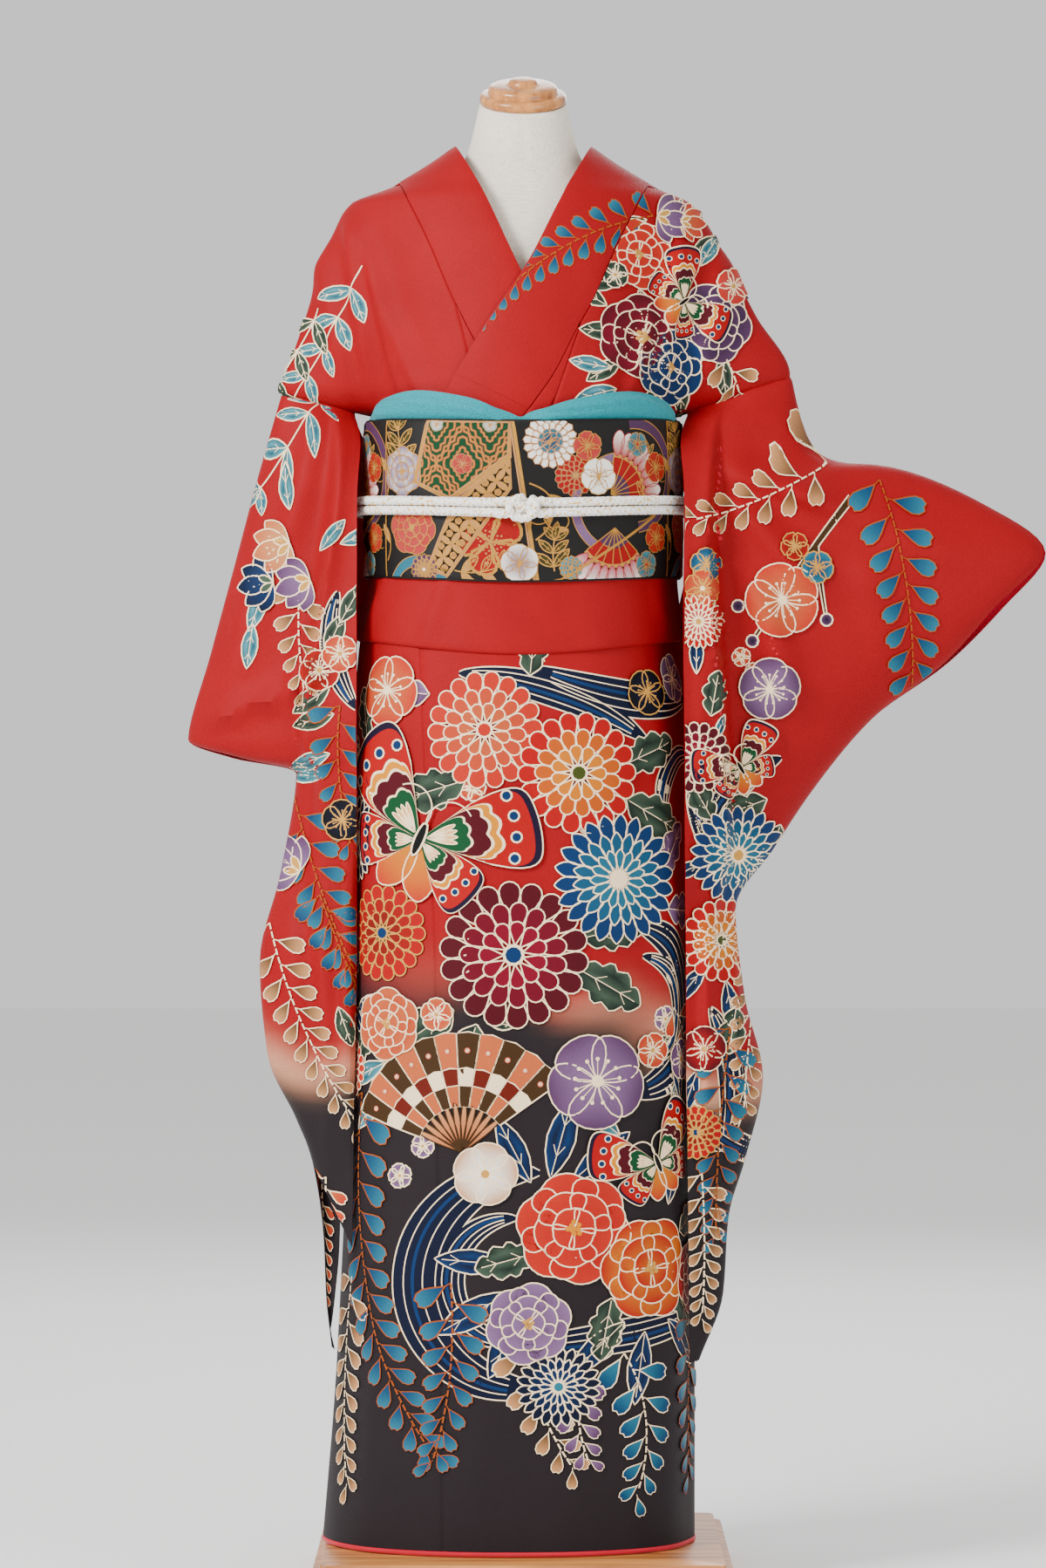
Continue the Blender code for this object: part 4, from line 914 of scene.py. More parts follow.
def refined(part, longest):
    """Split every face whose edges are too long, so that the drawing can follow a fold.

    An edge that is too long is halved; a face with one, two or three such edges becomes two,
    three or four faces.
    """
    part = dict(part)
    for _ in range(5):
        faces, points = part["faces"], part["points"]
        ends = np.sort(stacked(faces, np.roll(faces, -1, axis=1)), axis=-1)
        code, where = np.unique(ends[..., 0] * len(points) + ends[..., 1], return_inverse=True)
        key = stacked(code // len(points), code % len(points))
        long = np.linalg.norm(points[key[:, 0]] - points[key[:, 1]], axis=1) > longest
        if not long.any():
            break
        number = np.where(long, len(points) + np.cumsum(long) - 1, -1)
        for name in ("points", "shades", "level"):
            part[name] = np.concatenate([part[name], part[name][key[long]].mean(axis=1)])
        middle = number[where.reshape(-1, 3)]
        split = (middle >= 0).sum(axis=1)
        turn = np.zeros(len(faces), int)
        turn[split == 1] = np.argmax(middle[split == 1] >= 0, axis=1)
        turn[split == 2] = (np.argmin(middle[split == 2] >= 0, axis=1) + 1) % 3
        order = (np.arange(3)[None] + turn[:, None]) % 3
        a, b, c = np.take_along_axis(faces, order, axis=1).T
        p, q, r = np.take_along_axis(middle, order, axis=1).T
        lists, threads_of = [], []
        for count, groups in ((0, ((a, b, c),)), (1, ((a, p, c), (p, b, c))),
                              (2, ((p, b, q), (a, p, q), (a, q, c))),
                              (3, ((a, p, r), (p, b, q), (r, q, c), (p, q, r)))):
            use = split == count
            for group in groups:
                lists.append(stacked(*(corner[use] for corner in group)))
                threads_of.append(part["thread"][use])
        part["faces"], part["thread"] = np.concatenate(lists), np.concatenate(threads_of)
    return part


def printed(name, part, place, slot, longest, relief=1.8):
    """Lay a drawing on a surface.

    The place function gives points for u, v and a height over the cloth, and says which of
    them it had to bring back to the piece's edge; faces with only such points are left out.
    All faces first turn the same way in the drawing; a sample tells which way is outwards.
    """
    part = refined(part, longest)
    flat, faces = part["points"], part["faces"]
    height = sizes().print_lift + sizes().print_step * relief * part["level"]
    points, held = place(flat[:, 0], flat[:, 1], height)
    b, c = (flat[faces[:, n]] - flat[faces[:, 0]] for n in (1, 2))
    area = b[:, 0] * c[:, 1] - b[:, 1] * c[:, 0]
    faces = np.where(area[:, None] < 0, faces[:, ::-1], faces)
    keep = (~held[faces].all(axis=1)) & (np.abs(area) > 1e-10)
    faces, thread = faces[keep], part["thread"][keep]
    some = faces[::max(1, len(faces) // 400)]
    raised, _ = place(*flat[some[:, 0]].T, height[some[:, 0]] + 0.001)
    if inside_out(points, some, raised - points[some[:, 0]]):
        faces = faces[:, ::-1]
    used, faces = np.unique(faces, return_inverse=True)
    finishes = ((finish("crepe"),) if slot == "red_silk_crepe"
                else (finish("silk_figure"), finish("gold_figure")))
    made = mesh_object(name, points[used], faces.reshape(-1, 3), finishes, thread)
    colour_points(made, part["shades"][used])


def quads(rows, columns, ring=False, closed=False):
    """Faces between neighbours in a grid of points; a ring also joins its last column to its
    first, and a closed one its last row to its first."""
    i, j = np.meshgrid(np.arange(rows - 1 + closed), np.arange(columns - 1 + ring), indexing="ij")
    k, after = (j + 1) % columns, (i + 1) % rows
    return stacked(i * columns + j, i * columns + k, after * columns + k,
                   after * columns + j).reshape(-1, 4)


def inside_out(points, faces, outward):
    """Say whether faces look against the directions given for them."""
    a, b, c = (points[faces[:, n]] for n in (0, 1, -1))
    return np.sum(np.cross(b - a, c - a) * outward) < 0


def mesh_object(name, points, faces, finishes, slots=None):
    """Object from arrays of points and faces, each face with the number of its finish."""
    mesh = bpy.data.meshes.new(name)
    mesh.from_pydata(points, [], faces)
    if not len(mesh.polygons):
        raise RuntimeError(name + " has no faces")
    for one in finishes:
        mesh.materials.append(one)
    if slots is not None:
        mesh.polygons.foreach_set("material_index", np.asarray(slots, np.int32))
    mesh.shade_smooth()
    mesh.set_sharp_from_angle(angle=50 * DEG)
    made = bpy.data.objects.new(name, mesh)
    bpy.context.scene.collection.objects.link(made)
    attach(made, "root")
    return made


def colour_points(made, shades):
    """Store one colour for each point as the dye."""
    layer = made.data.color_attributes.new("dye", "FLOAT_COLOR", "POINT")
    full = np.ones((len(made.data.vertices), 4))
    full[:, :3] = shades
    layer.data.foreach_set("color", full.ravel())


def cloth(name, stands_for, outer, inner, dye, silk="crepe",
          lining=None, ring=False, lined=True):
    """A piece of cloth: a closed shell between two grids of points.

    Every point takes the dye's colour; a face of the inside takes the lining's finish where
    its row is lined, and the outer finish elsewhere.
    """
    rows, columns = outer.shape[:2]
    count = rows * columns
    points = np.concatenate([outer.reshape(-1, 3), inner.reshape(-1, 3)])
    front = quads(rows, columns, ring)
    wide = columns - 1 + ring
    edge = np.arange(wide)
    after = (edge + 1) % columns
    top = (rows - 1) * columns
    parts = [front, front[:, ::-1] + count, stacked(edge, edge + count, after + count, after),
             stacked(top + after, top + after + count, top + edge + count, top + edge)]
    if not ring:
        edge = np.arange(rows - 1) * columns
        after, last = edge + columns, columns - 1
        parts += [stacked(after, after + count, edge + count, edge),
                  stacked(edge + last, edge + last + count, after + last + count, after + last)]
    faces = np.concatenate(parts)
    if inside_out(points, front, (points[:count] - points[count:])[front[:, 0]]):
        faces = faces[:, ::-1]
    slots = np.zeros(len(faces), np.int32)
    slots[len(front):2 * len(front)] = np.repeat(np.broadcast_to(lined, (rows - 1,)), wide)
    colours = np.broadcast_to(np.asarray(dye, float), (rows, columns, 3)).reshape(-1, 3)
    made = mesh_object(name, points, faces, (finish(silk), finish(lining or silk)), slots)
    colour_points(made, np.concatenate([colours, colours]))
    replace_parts(made, stands_for)


def between(start, end, f):
    """Values at shares f of the way from start to end."""
    return start * (1 - f) + end * f


def spread(count):
    """Shares from 0 to 1 that crowd at both ends, where the seams are."""
    return np.concatenate([[0.0, 0.005, 0.012, 0.022], np.linspace(0.035, 0.965, count - 8),
                           [0.978, 0.988, 0.995, 1.0]])


def seam_dip(f, width):
    """How far the cloth rolls in at a panel's two seams, across a share f of its width."""
    near = np.exp(-(f * width / 0.0016) ** 2) + np.exp(-((1 - f) * width / 0.0016) ** 2)
    return -sizes().seam_roll * near


def two_dyes(x, z, border, glow):
    """Ground colour: red above a wandering border, charcoal below it, with a pale glow."""
    edge = border + 0.022 * wander(x, z, 0.07, 1.0)
    down = (1.0 - ease(z, edge - 0.030, edge + 0.022))[..., None]
    light = glow * np.exp(-((z - edge - 0.002) / 0.022) ** 2) * (
        0.55 + 0.45 * wander(x, z, 0.10, 4.0))
    light = np.clip(light, 0.0, 0.9)[..., None]
    return between(between(colour("ground"), colour("shade"), down), colour("glow"), light)


def cloth_length(angle):
    """Distance along the skirt from the front centre, round either side to the back."""
    return np.interp(np.where(angle > math.pi, angle - 2 * math.pi, angle), TURNS, SKIRT_GIRTH)


def skirt_cloth(angle, z, over, height=0.0):
    """Point of the skirt's outer face: the upper front is lifted in the middle, and soft
    upright folds grow from the waist down."""
    angle, z = np.broadcast_arrays(angle, z)
    raised = OVER * (1.0 - ease(angle, 52 * DEG, 74 * DEG)) if over else 0.0 * angle
    folds = ridges(SKIRT_CREASES, cloth_length(angle), z) * (1 - ease(z, 0.86, 0.90))
    return worn(angle, z, raised + CREPE + folds + height)


# Each skirt panel's two edges in degrees, and whether it belongs to the upper front
SKIRT_PANELS = {
    "skirt_right_front": (-88.0, -18.0, 0), "skirt_right_overlap": (-18.0, 38.0, 0),
    "skirt_back_right": (-180.0, -88.0, 0), "skirt_back_left": (88.0, 180.0, 0),
    "skirt_left_front": (None, 88.0, 1), "skirt_left_overlap": (-84.0, None, 1)}


def make_skirt():
    """The panels from the hem to the waist, each between its two seams."""
    z = np.linspace(HEM_Z, SKIRT_TOP, 84)
    seam = angle_at(at_height(OKUMI, "x", z), z)
    for name, (start, end, over) in SKIRT_PANELS.items():
        start, end = (seam if edge is None else edge * DEG + 0.0 * z for edge in (start, end))
        f = spread(int(8 + 0.55 * (end - start).mean() / DEG))
        angles = between(start[:, None], end[:, None], f)
        heights = np.broadcast_to(z[:, None], angles.shape)
        dip = seam_dip(f, 0.16)
        outer = skirt_cloth(angles, heights, over, dip)
        s, x = cloth_length(angles), outer[..., 0] + 0.6 * outer[..., 1]
        border = np.interp(s, (-0.45, -0.30, -0.17, 0.05, 0.16, 0.30, 0.45),
                           (0.57, 0.575, 0.604, 0.565, 0.530, 0.55, 0.57))
        glow = np.interp(s, (-0.45, -0.20, 0.02, 0.10, 0.20, 0.45), (0.4, 0.0, 0.1, 0.9, 0.9, 0.4))
        cloth("robe_" + name, name, outer, skirt_cloth(angles, heights, over, dip - sizes().silk),
              two_dyes(x, heights, border, glow), lining="lining")


def make_hem():
    """The lining turned up over the hem's edge: half a circle under each skirt edge."""
    for name, start, end, over in (("hem_lining_front", -84, 87.8, 1),
                                   ("hem_lining_back", 88.2, 271.5, 0)):
        angles = np.linspace(start * DEG, end * DEG, 110)[None, :]
        turn = np.linspace(0.0, math.pi, 9)[:, None]
        middle = 0.5 * (BASE_THICK + HEM_Z)
        half = 0.5 * (HEM_Z - BASE_THICK) - SEAM_GAP
        heights = middle + half * np.cos(turn) + 0.0 * angles
        out = -CREPE + 0.0006 + 0.0018 * np.sin(turn) + 0.0 * angles
        along = np.maximum(heights, HEM_Z)
        drop = (heights - along)[..., None] * (0.0, 0.0, 1.0)
        cloth("robe_" + name, name, skirt_cloth(angles, along, over, out) + drop,
              skirt_cloth(angles, along, over, out - 0.0008) + drop, colour("lining"),
              silk="lining")


def make_waist_fold():
    """The doubled band under the sash: a round lower edge, and a few slanting pleats."""
    swell = 0.0028
    for name, start, end in (("waist_fold_front", -96, 89.8), ("waist_fold_back", 90.2, 263.8)):
        angles = np.linspace(start * DEG, end * DEG, 110)[None, :]
        bottom = WAIST_FOLD[0] + rise(angles, WAIST_FOLD_RISE)
        turn = np.linspace(0.0, 1.0, 22)[:, None]
        heights = bottom + (WAIST_FOLD[1] - bottom) * turn ** 1.4
        belly = np.where(turn > 0.16, swell, swell * np.sqrt(np.clip(
            1.0 - (1.0 - turn / 0.16) ** 2, 0.0, 1.0)))
        pleats = ridges(FOLD_CREASES, cloth_length(angles) + 0.0 * heights, heights)
        out = FOLD_OUT - swell + belly + pleats
        cloth("robe_" + name, name, worn(angles, heights, out),
              worn(angles, heights, np.minimum(out - sizes().silk, FOLD_OUT - 0.0026)),
              colour("ground"))


def stations(strip, edge, count, bottom):
    """Heights at which a front edge of the collar is drawn, closer together at the shoulder."""
    top = strip["z_" + edge][0]
    return top + (bottom - top) * np.linspace(0.0, 1.0, count) ** 1.4


def collar_angle(strip, edge, z):
    """Angle of the collar's inner or outer edge in front, at these heights."""
    return angle_at(smooth(strip["z_" + edge], strip["x_" + edge], z), z)


def behind_neck(edge, angle):
    """Height of the collar's edge round the back: it dips between the two shoulders."""
    ends = []
    for strip in (RIGHT_COLLAR, LEFT_COLLAR):
        z = strip["z_" + edge][0]
        ends.append((float(angle_at(strip["x_" + edge][0], z)), z))
    (right_angle, right_z), (left_angle, left_z) = ends
    turn = (right_angle + 2 * math.pi - angle) / (right_angle + 2 * math.pi - left_angle)
    dip = np.sin(math.pi * np.clip(turn, 0.0, 1.0)) ** 2
    return between(between(right_z, left_z, turn), BEHIND_NECK[edge], dip)


def below_neck(angle, margin):
    """Height of the collar's outer edge behind, less a margin, at an angle of either sign."""
    return behind_neck("outer", np.where(angle < 0, angle + 2 * math.pi, angle)) - margin


def lift(angle):
    """Distance out of the front that wraps over: full in the middle, none at its side."""
    return OVER * (1.0 - ease(angle, 30 * DEG, 62 * DEG))


def collar_cloth(angle, z, f, height=0.0):
    """Point of the collar's face at a share of its width: it swells between its edges."""
    base = np.where(angle < 0.5 * math.pi, lift(angle), 0.0)
    swell = (1.0 - np.abs(2 * f - 1) ** 6) * 0.0012
    return worn(angle, z, base + COLLAR_WALL - 0.0007 + swell + height)


def make_collar():
    """The collar round the neck and down to where it ends, and its end under the wrap."""
    edges, ends = [], []
    for edge in ("inner", "outer"):
        stop, bottom = OVER_COLLAR_END[edge], LEFT_COLLAR["z_" + edge][-1]
        right_z = stations(RIGHT_COLLAR, edge, 60, RIGHT_COLLAR["z_" + edge][-1])
        left_z = stations(LEFT_COLLAR, edge, 60, stop)
        right = collar_angle(RIGHT_COLLAR, edge, right_z)
        left = collar_angle(LEFT_COLLAR, edge, left_z)
        lower = np.linspace(stop - 0.1 * SEAM_GAP, bottom, 20)
        back = np.linspace(right[0] + 2 * math.pi, left[0], 70)[1:-1]
        edges.append((np.concatenate([right[::-1] + 2 * math.pi, back, left]),
                      np.concatenate([right_z[::-1], behind_neck(edge, back), left_z])))
        ends.append((collar_angle(LEFT_COLLAR, edge, lower), lower))
    f = np.linspace(0.0, 1.0, 22)[:, None]
    for name, (inner, outer), thick in (("over_collar", edges, COLLAR_WALL),
                                        ("collar_left_end", ends, 0.0018)):
        angles, heights = (between(inner[n], outer[n], f) for n in (0, 1))
        base = np.where(angles < 0.5 * math.pi, lift(angles), 0.0)
        cloth("robe_" + name, name, collar_cloth(angles, heights, f, thick - COLLAR_WALL),
              worn(angles, heights, base + 0.0002 + 0.0 * f), colour("ground"))


def bodice_cloth(side, front, angle, z, height=0.0):
    """Point of a body panel above the waist: its lift and wall, and its soft pleats."""
    base = lift(angle) if side == "left" and front else 0.0 * angle
    x = body(angle, z)[..., 0]
    calm = ease(z, 1.126, 1.140) * (1 - ease(z, 1.30, 1.345))
    pleats = ridges(BODICE_CREASES if front else BACK_CREASES, x, z) * calm
    return worn(angle, z, base + CREPE + pleats + height)


def outer_edge(side, front, z):
    """Angle of a body panel's outer edge: the armhole, or the shoulder line over it."""
    sign, hole = SIGN[side], ARMHOLE[side]
    x = np.interp(z, hole["z"][::-1], hole["x"][::-1])
    edge = np.where(z < hole["z"][0] + 0.0001, angle_at(x, z, front), sign * 0.5 * math.pi)
    return np.where(z < 1.132, sign * (80 if front else 100) * DEG, edge)


def panel(name, side, front, start, end, z, count, inset):
    """One body panel between two edges, each an angle for every height."""
    f = spread(count)
    angles = between(start[:, None], end[:, None], f)
    heights = np.broadcast_to(z[:, None], angles.shape)
    if not front:
        top, low = below_neck(angles, 0.0012), 1.235
        share = (heights - low) / (z[-1] - low)
        heights = np.where(share > 0, low + (top - low) * share, heights)
    dip = seam_dip(f, inset)
    cloth("robe_" + name, name, bodice_cloth(side, front, angles, heights, dip),
          bodice_cloth(side, front, angles, heights, dip - sizes().silk), colour("ground"),
          lining="lining")


def make_bodice():
    """Both sides above the waist: the front, the top of the overlap, and the back."""
    for side, strip in COLLARS.items():
        sign, seam = SIGN[side], OVERLAP_SEAM[side]
        z = np.concatenate([np.linspace(BODICE_BOTTOM, 1.130, 8),
                            np.linspace(1.134, strip["z_outer"][0] - 0.002, 62)])
        inner = collar_angle(strip, "outer", z) + sign * 0.0030
        inner = np.where(z < seam["z"][0], angle_at(at_height(seam, "x", z), z), inner)
        panel("bodice_%s_front" % side, side, True, outer_edge(side, True, z) - sign * 0.0012,
              inner, z, 66, 0.15)
        low = np.linspace(seam["z"][0] - 0.004, BODICE_BOTTOM, 50)
        end = collar_angle(strip, "outer", np.maximum(low, strip["z_outer"][-1]))
        panel("overlap_%s_top" % side, side, True,
              angle_at(at_height(seam, "x", low), low) - sign * 0.0006, end + sign * 0.0040, low,
              16, 0.05)
        panel("bodice_%s_back" % side, side, False, outer_edge(side, False, z) + sign * 0.0012,
              sign * (math.pi - 0.0002) + 0.0 * z, z, 58, 0.2)


def row_shares(side):
    """How far down a sleeve each row of its table lies, from 0 at the seam to 1 at the end."""
    rows = SLEEVES[side]
    steps = np.hypot(np.diff(rows["in_z"] + rows["out_z"]), np.diff(rows["out_x"]))
    length = np.concatenate([[0.0], np.cumsum(steps)])
    return length / length[-1]


def at_rows(side, row):
    """Shares of a sleeve's length at numbers of rows, whole or between two."""
    shares = row_shares(side)
    return np.interp(row, np.arange(len(shares)), shares)


def sleeve_point(side, front, along, s, out=0.0):
    """Point of a sleeve's outer face at a share of its length and of its width.

    The depth is nearly a quarter of an ellipse that closes at the outer edge, apart from the
    cuff; the front layer has one fold that stands forward beside the body, and soft creases.
    At the armhole the sleeve starts just under the edge of the body panel.
    """
    along, s, out = np.broadcast_arrays(along, s, out)
    shares, sign = row_shares(side), SIGN[side]
    row = {name: smooth(shares, column, along) for name, column in SLEEVES[side].items()}
    start_y, bulge = row["in_y"], 0.0
    beside = row["in_x"] - sign * 0.0085 * np.exp(-((row["in_z"] - 1.10) / 0.022) ** 2)
    if not front:
        lean = 0.0042 * ease(row["in_z"], 0.86, 0.92) * (1 - ease(row["in_z"], 1.00, 1.04))
        beside = sign * np.minimum(np.abs(beside) + row["back_x"] - lean,
                                   np.abs(row["out_x"]) - 0.003)
        start_y = start_y + row["back_y"]
        bulge = sign * CUFF_BULGE * row["cuff"]
    x = between(beside, row["out_x"] + bulge, s)
    z = between(row["in_z"], row["out_z"], s)
    middle = between(start_y, row["out_y"], s)
    belly = np.sqrt(np.clip(1.0 - s ** 2.4, 0.0, 1.0))
    thick = CREPE - 0.0007 * ease(s, 0.9, 1.0)
    depth = row["gape"] * belly + row["cuff"] * (1.0 - belly) + thick
    if front:
        past = np.abs(x) - np.abs(row["fold_x"])
        roll = 1.0 - ease(past, -0.006, 0.005)
        depth = depth + row["fold_out"] * roll * (1.0 + 0.10 * np.sin(past * 90.0))
    soft = ease(s, 0.0, 0.05) * (1 - ease(s, 0.88, 0.985)) * ease(along, 0.01, 0.06)
    depth = depth + ridges(SLEEVE_CREASES[side], x, z) * soft * (1.0 if front else 0.7) + out
    point = stacked(x, middle + (-1.0 if front else 1.0) * depth, z)
    (far_x, near_x), (far_z, near_z) = ARMHOLE[side]["x"], ARMHOLE[side]["z"]
    edge_x, edge_z = near_x + (far_x - near_x) * s, near_z + (far_z - near_z) * s
    rolled = 0.0005 + (2 * CREPE - 0.0005) * ease(along, 0.003, 0.02)
    edge = worn(angle_at(edge_x, edge_z, front), edge_z, rolled + out)
    edge = edge + np.array([0.0, 0.0, 0.0022]) * (1 - ease(along, 0.0, 0.02))[..., None]
    first = ease(along, 0.0, 0.09 - (0.0 if front else 0.05) * (1 - ease(s, 0.0, 0.3)))
    return between(edge, point, first[..., None])


def backed(outer, toward):
    """A grid of points moved in by the silk's thickness; its face looks the given way in y."""
    normal = unit(np.cross(np.gradient(outer, axis=1), np.gradient(outer, axis=0)))
    return outer - normal * np.sign(normal[..., 1].sum() * toward) * sizes().silk


def sleeve_place(side, x, z):
    """Share of a sleeve's length and width at a place seen from the front, found by halving."""
    rows, shares = SLEEVES[side], row_shares(side)
    low, high = np.zeros(np.shape(x)), np.ones(np.shape(x))
    for _ in range(HALVINGS):
        along = 0.5 * (low + high)
        in_x, in_z, out_x, out_z = (smooth(shares, rows[name], along)
                                    for name in ("in_x", "in_z", "out_x", "out_z"))
        below = (z - in_z) - (x - in_x) * (out_z - in_z) / (out_x - in_x) < 0
        low, high = np.where(below, along, low), np.where(below, high, along)
    return along, (x - in_x) / (out_x - in_x)


def make_sleeves():
    """Front and back layer of each sleeve, and the lining that shows at the left cuff."""
    for side in ("right", "left"):
        row = np.concatenate([[0.0, 0.04, 0.09, 0.15, 0.22, 0.32, 0.44, 0.58, 0.72, 0.86],
                              np.linspace(1.0, len(row_shares(side)) - 1.0,
                                          7 * (len(row_shares(side)) - 2) + 1)])
        s = (np.linspace(0.0, 1.0, 48) ** 0.95)[None, :]
        for layer in ("front", "back"):
            front = layer == "front"
            shown = row[row <= RIGHT_FRONT_ROWS - 1] if front and side == "right" else row
            outer = sleeve_point(side, front, at_rows(side, shown)[:, None], s)
            lined = shown[:-1] < (99 if front or side == "left" else RIGHT_FRONT_ROWS - 1.4)
            border = (0.505 if side == "right" else 0.475) + 0.0 * outer[..., 0]
            name = "sleeve_%s_%s" % (side, layer)
            cloth("robe_" + name, name, outer, backed(outer, -1.0 if front else 1.0),
                  two_dyes(outer[..., 0], outer[..., 2], border, 0.75 + 0.0 * border),
                  lining="lining", lined=lined)
    a = at_rows("left", np.linspace(4.0, 6.0, 30))[:, None]
    s = np.linspace(0.86, 0.998, 12)[None, :]
    outer, inner = (sleeve_point("left", False, a, s, -CREPE - under) for under in (0.0008, 0.0002))
    cloth("robe_left_cuff_lining", "sleeve_left_cuff_lining", outer, inner, colour("lining"),
          silk="lining")


# Places: each gives points for u, v and a height over the cloth, and says which were held back

def on_skirt(front):
    """On the skirt: u runs along the cloth from the front centre, v is the height."""
    low, high = (-83.7 * DEG, 87.9 * DEG) if front else (88.4 * DEG, 271.3 * DEG)

    def place(u, v, height):
        angle = np.interp(u, SKIRT_GIRTH, TURNS)
        z = np.clip(v, HEM_Z + 0.0004, 0.975)
        held = (angle < low) | (angle > high) | (z != v)
        return skirt_cloth(np.clip(angle, low, high), z, front, height), held
    return place


def on_bodice(side, front):
    """On a body panel, as seen from the front, between the collar and the armhole."""
    strip, sign = COLLARS[side], SIGN[side]

    def place(u, v, height):
        z = np.clip(v, 1.125, strip["z_outer"][0] - 0.004)
        inner = math.pi + 0.0 * z
        if front:
            inner = collar_angle(strip, "outer", z) + sign * 0.004
            inner = np.abs(inner) * np.sign(inner * sign)
        edge = np.abs(outer_edge(side, front, z)) + (-0.002 if front else 0.002)
        angle = sign * angle_at(u, z, front)
        low, high = (inner, edge) if front else (edge, inner)
        held = (angle < low) | (angle > high) | (z != v)
        angle = sign * np.clip(angle, low, high)
        if not front:
            top = below_neck(angle, 0.003)
            held = held | (z > top)
            z = np.minimum(z, top)
        return bodice_cloth(side, front, angle, z, height), held
    return place


def on_collar(strip, low):
    """On the collar in front, from a height up."""
    def place(u, v, height):
        z = np.clip(v, low, strip["z_outer"][0])
        inner, outer = (collar_angle(strip, edge, z) for edge in ("inner", "outer"))
        f = (angle_at(u, z) - inner) / (outer - inner)
        held = (f < 0.02) | (f > 0.98) | (z != v)
        f = np.clip(f, 0.02, 0.98)
        return collar_cloth(between(inner, outer, f), z, f, height), held
    return place


def on_sleeve(side, layer):
    """On a sleeve's front, its back, or the inside of its back where the front ends."""
    end = row_shares("right")[RIGHT_FRONT_ROWS - 1]

    def place(u, v, height):
        along, s = sleeve_place(side, u, v)
        low = end - 0.01 if layer == "inside" else 0.012
        high = end - 0.001 if side == "right" and layer == "front" else 0.998
        held = (s < 0.004) | (s > 0.994) | (along < low) | (along > high)
        out = -sizes().silk - height if layer == "inside" else height
        return sleeve_point(side, layer == "front", np.clip(along, low, high),
                            np.clip(s, 0.004, 0.994), out), held
    return place


FLOWERS = {"chrysanthemum": chrysanthemum, "pointed": pointed, "peony": peony,
           "plum": plum_blossom, "bellflower": bellflower}
COLUMNS = {"leaf": "x z turn length", "raceme": "x z length turn bend size",
           "water": "x z length turn bend width", "butterfly": "x z span turn"}


def motif(kind, up, n, shared, shades, x, z, turn=0.0, **more):
    """The nth motif of its kind in its place; a level for each, and directions in degrees."""
    if kind in FLOWERS:
        return placed(FLOWERS[kind](more["radius"], *shades), x, z, 5.0 * x + 3.0 * z, 1.0, up + n)
    if kind == "leaf":
        (lobes, wide), length = shared, more["length"]
        return placed(leaf(length, wide * length, *shades, lobes), x, z, (turn - 90.0) * DEG, 1.0,
                      up + 0.5 * n)
    if kind == "raceme":
        return placed(raceme(x, z, more["length"], turn, more["bend"], *shades, more["size"]),
                      up=up + n)
    if kind == "water":
        return placed(water(x, z, more["length"], turn, more["bend"], more["width"]), up=up)
    return placed(butterfly(more["span"]), x, z, turn * DEG, 1.0, up)


def numbers(words):
    """The words that are not colours, as numbers."""
    return [float(word) for word in words if word not in INK]


def listed(text):
    """Motifs given as text, in entries that end with a semicolon.

    Each entry has a kind, its level, for leaves their lobes and the share of width to length,
    perhaps colours, and a colon.  Then each motif has its numbers, whose names are in COLUMNS
    (x z radius for a flower), and its own colours, up to a comma.  Lengths are in millimetres.
    """
    parts = []
    for entry in text.split(";"):
        head, places = entry.split(":")
        kind, up, *shared = head.split()
        names = COLUMNS.get(kind, "x z radius").split()
        for n, place in enumerate(places.split(",")):
            row = {name: value if name in ("turn", "bend") else value / 1000.0
                   for name, value in zip(names, numbers(place.split()))}
            shades = [INK[word] for word in shared + place.split() if word in INK]
            parts.append(motif(kind, float(up), n, numbers(shared), shades, **row))
    return parts


def strewn(low, high, seed, count, size=0.012):
    """Small blossoms and leaves strewn over a rectangle in a fixed order."""
    random = np.random.default_rng(seed)
    u = low[0] + (high[0] - low[0]) * random.random(count)
    v = low[1] + (high[1] - low[1]) * random.random(count)
    turn, scale = random.random(count) * 6.28, 0.8 + 0.5 * random.random(count)
    kinds = (plum_blossom(size, *tints("peach coral cream gold")),
             leaf(2.2 * size, size, *tints("sage leaf cream")),
             leaf(2.4 * size, 0.8 * size, *tints("sky navy cream")),
             plum_blossom(size, *tints("mauve lilac cream gold")))
    return [placed(one, u[n::4], v[n::4], turn[n::4], scale[n::4], 0.4 * n)
            for n, one in enumerate(kinds)]


def open_fan(radius):
    """Open fan: pleats in two shades, a narrower band of pleats in two more, and one of dots, over
    bare sticks.
    """
    turn = 0.2 * (np.arange(11) - 5)
    half = math.tan(0.1)

    def pleats(near, far, level, first, second):
        outline = radius * np.array([(-near * half, near), (near * half, near),
                                     (far * half, far), (0.0, 1.02 * far), (-far * half, far)])
        return [placed(edged(outline, INK[name], INK[name], INK["cream"], None, level),
                       turn=turn[start::2]) for start, name in enumerate((first, second))]
    dot = disc(0.026 * radius, *tints("cream coral"), 4.0, 8)
    sticks = petal(0.44 * radius, 0.05 * radius, *tints("peach sand brown"))
    return joined([placed(sticks, turn=turn), *pleats(0.38, 1.0, 1.0, "brown", "peach"),
                   *pleats(0.56, 0.70, 2.0, "cream", "rust"),
                   placed(dot, 0.86 * radius * np.sin(turn), 0.86 * radius * np.cos(turn))])


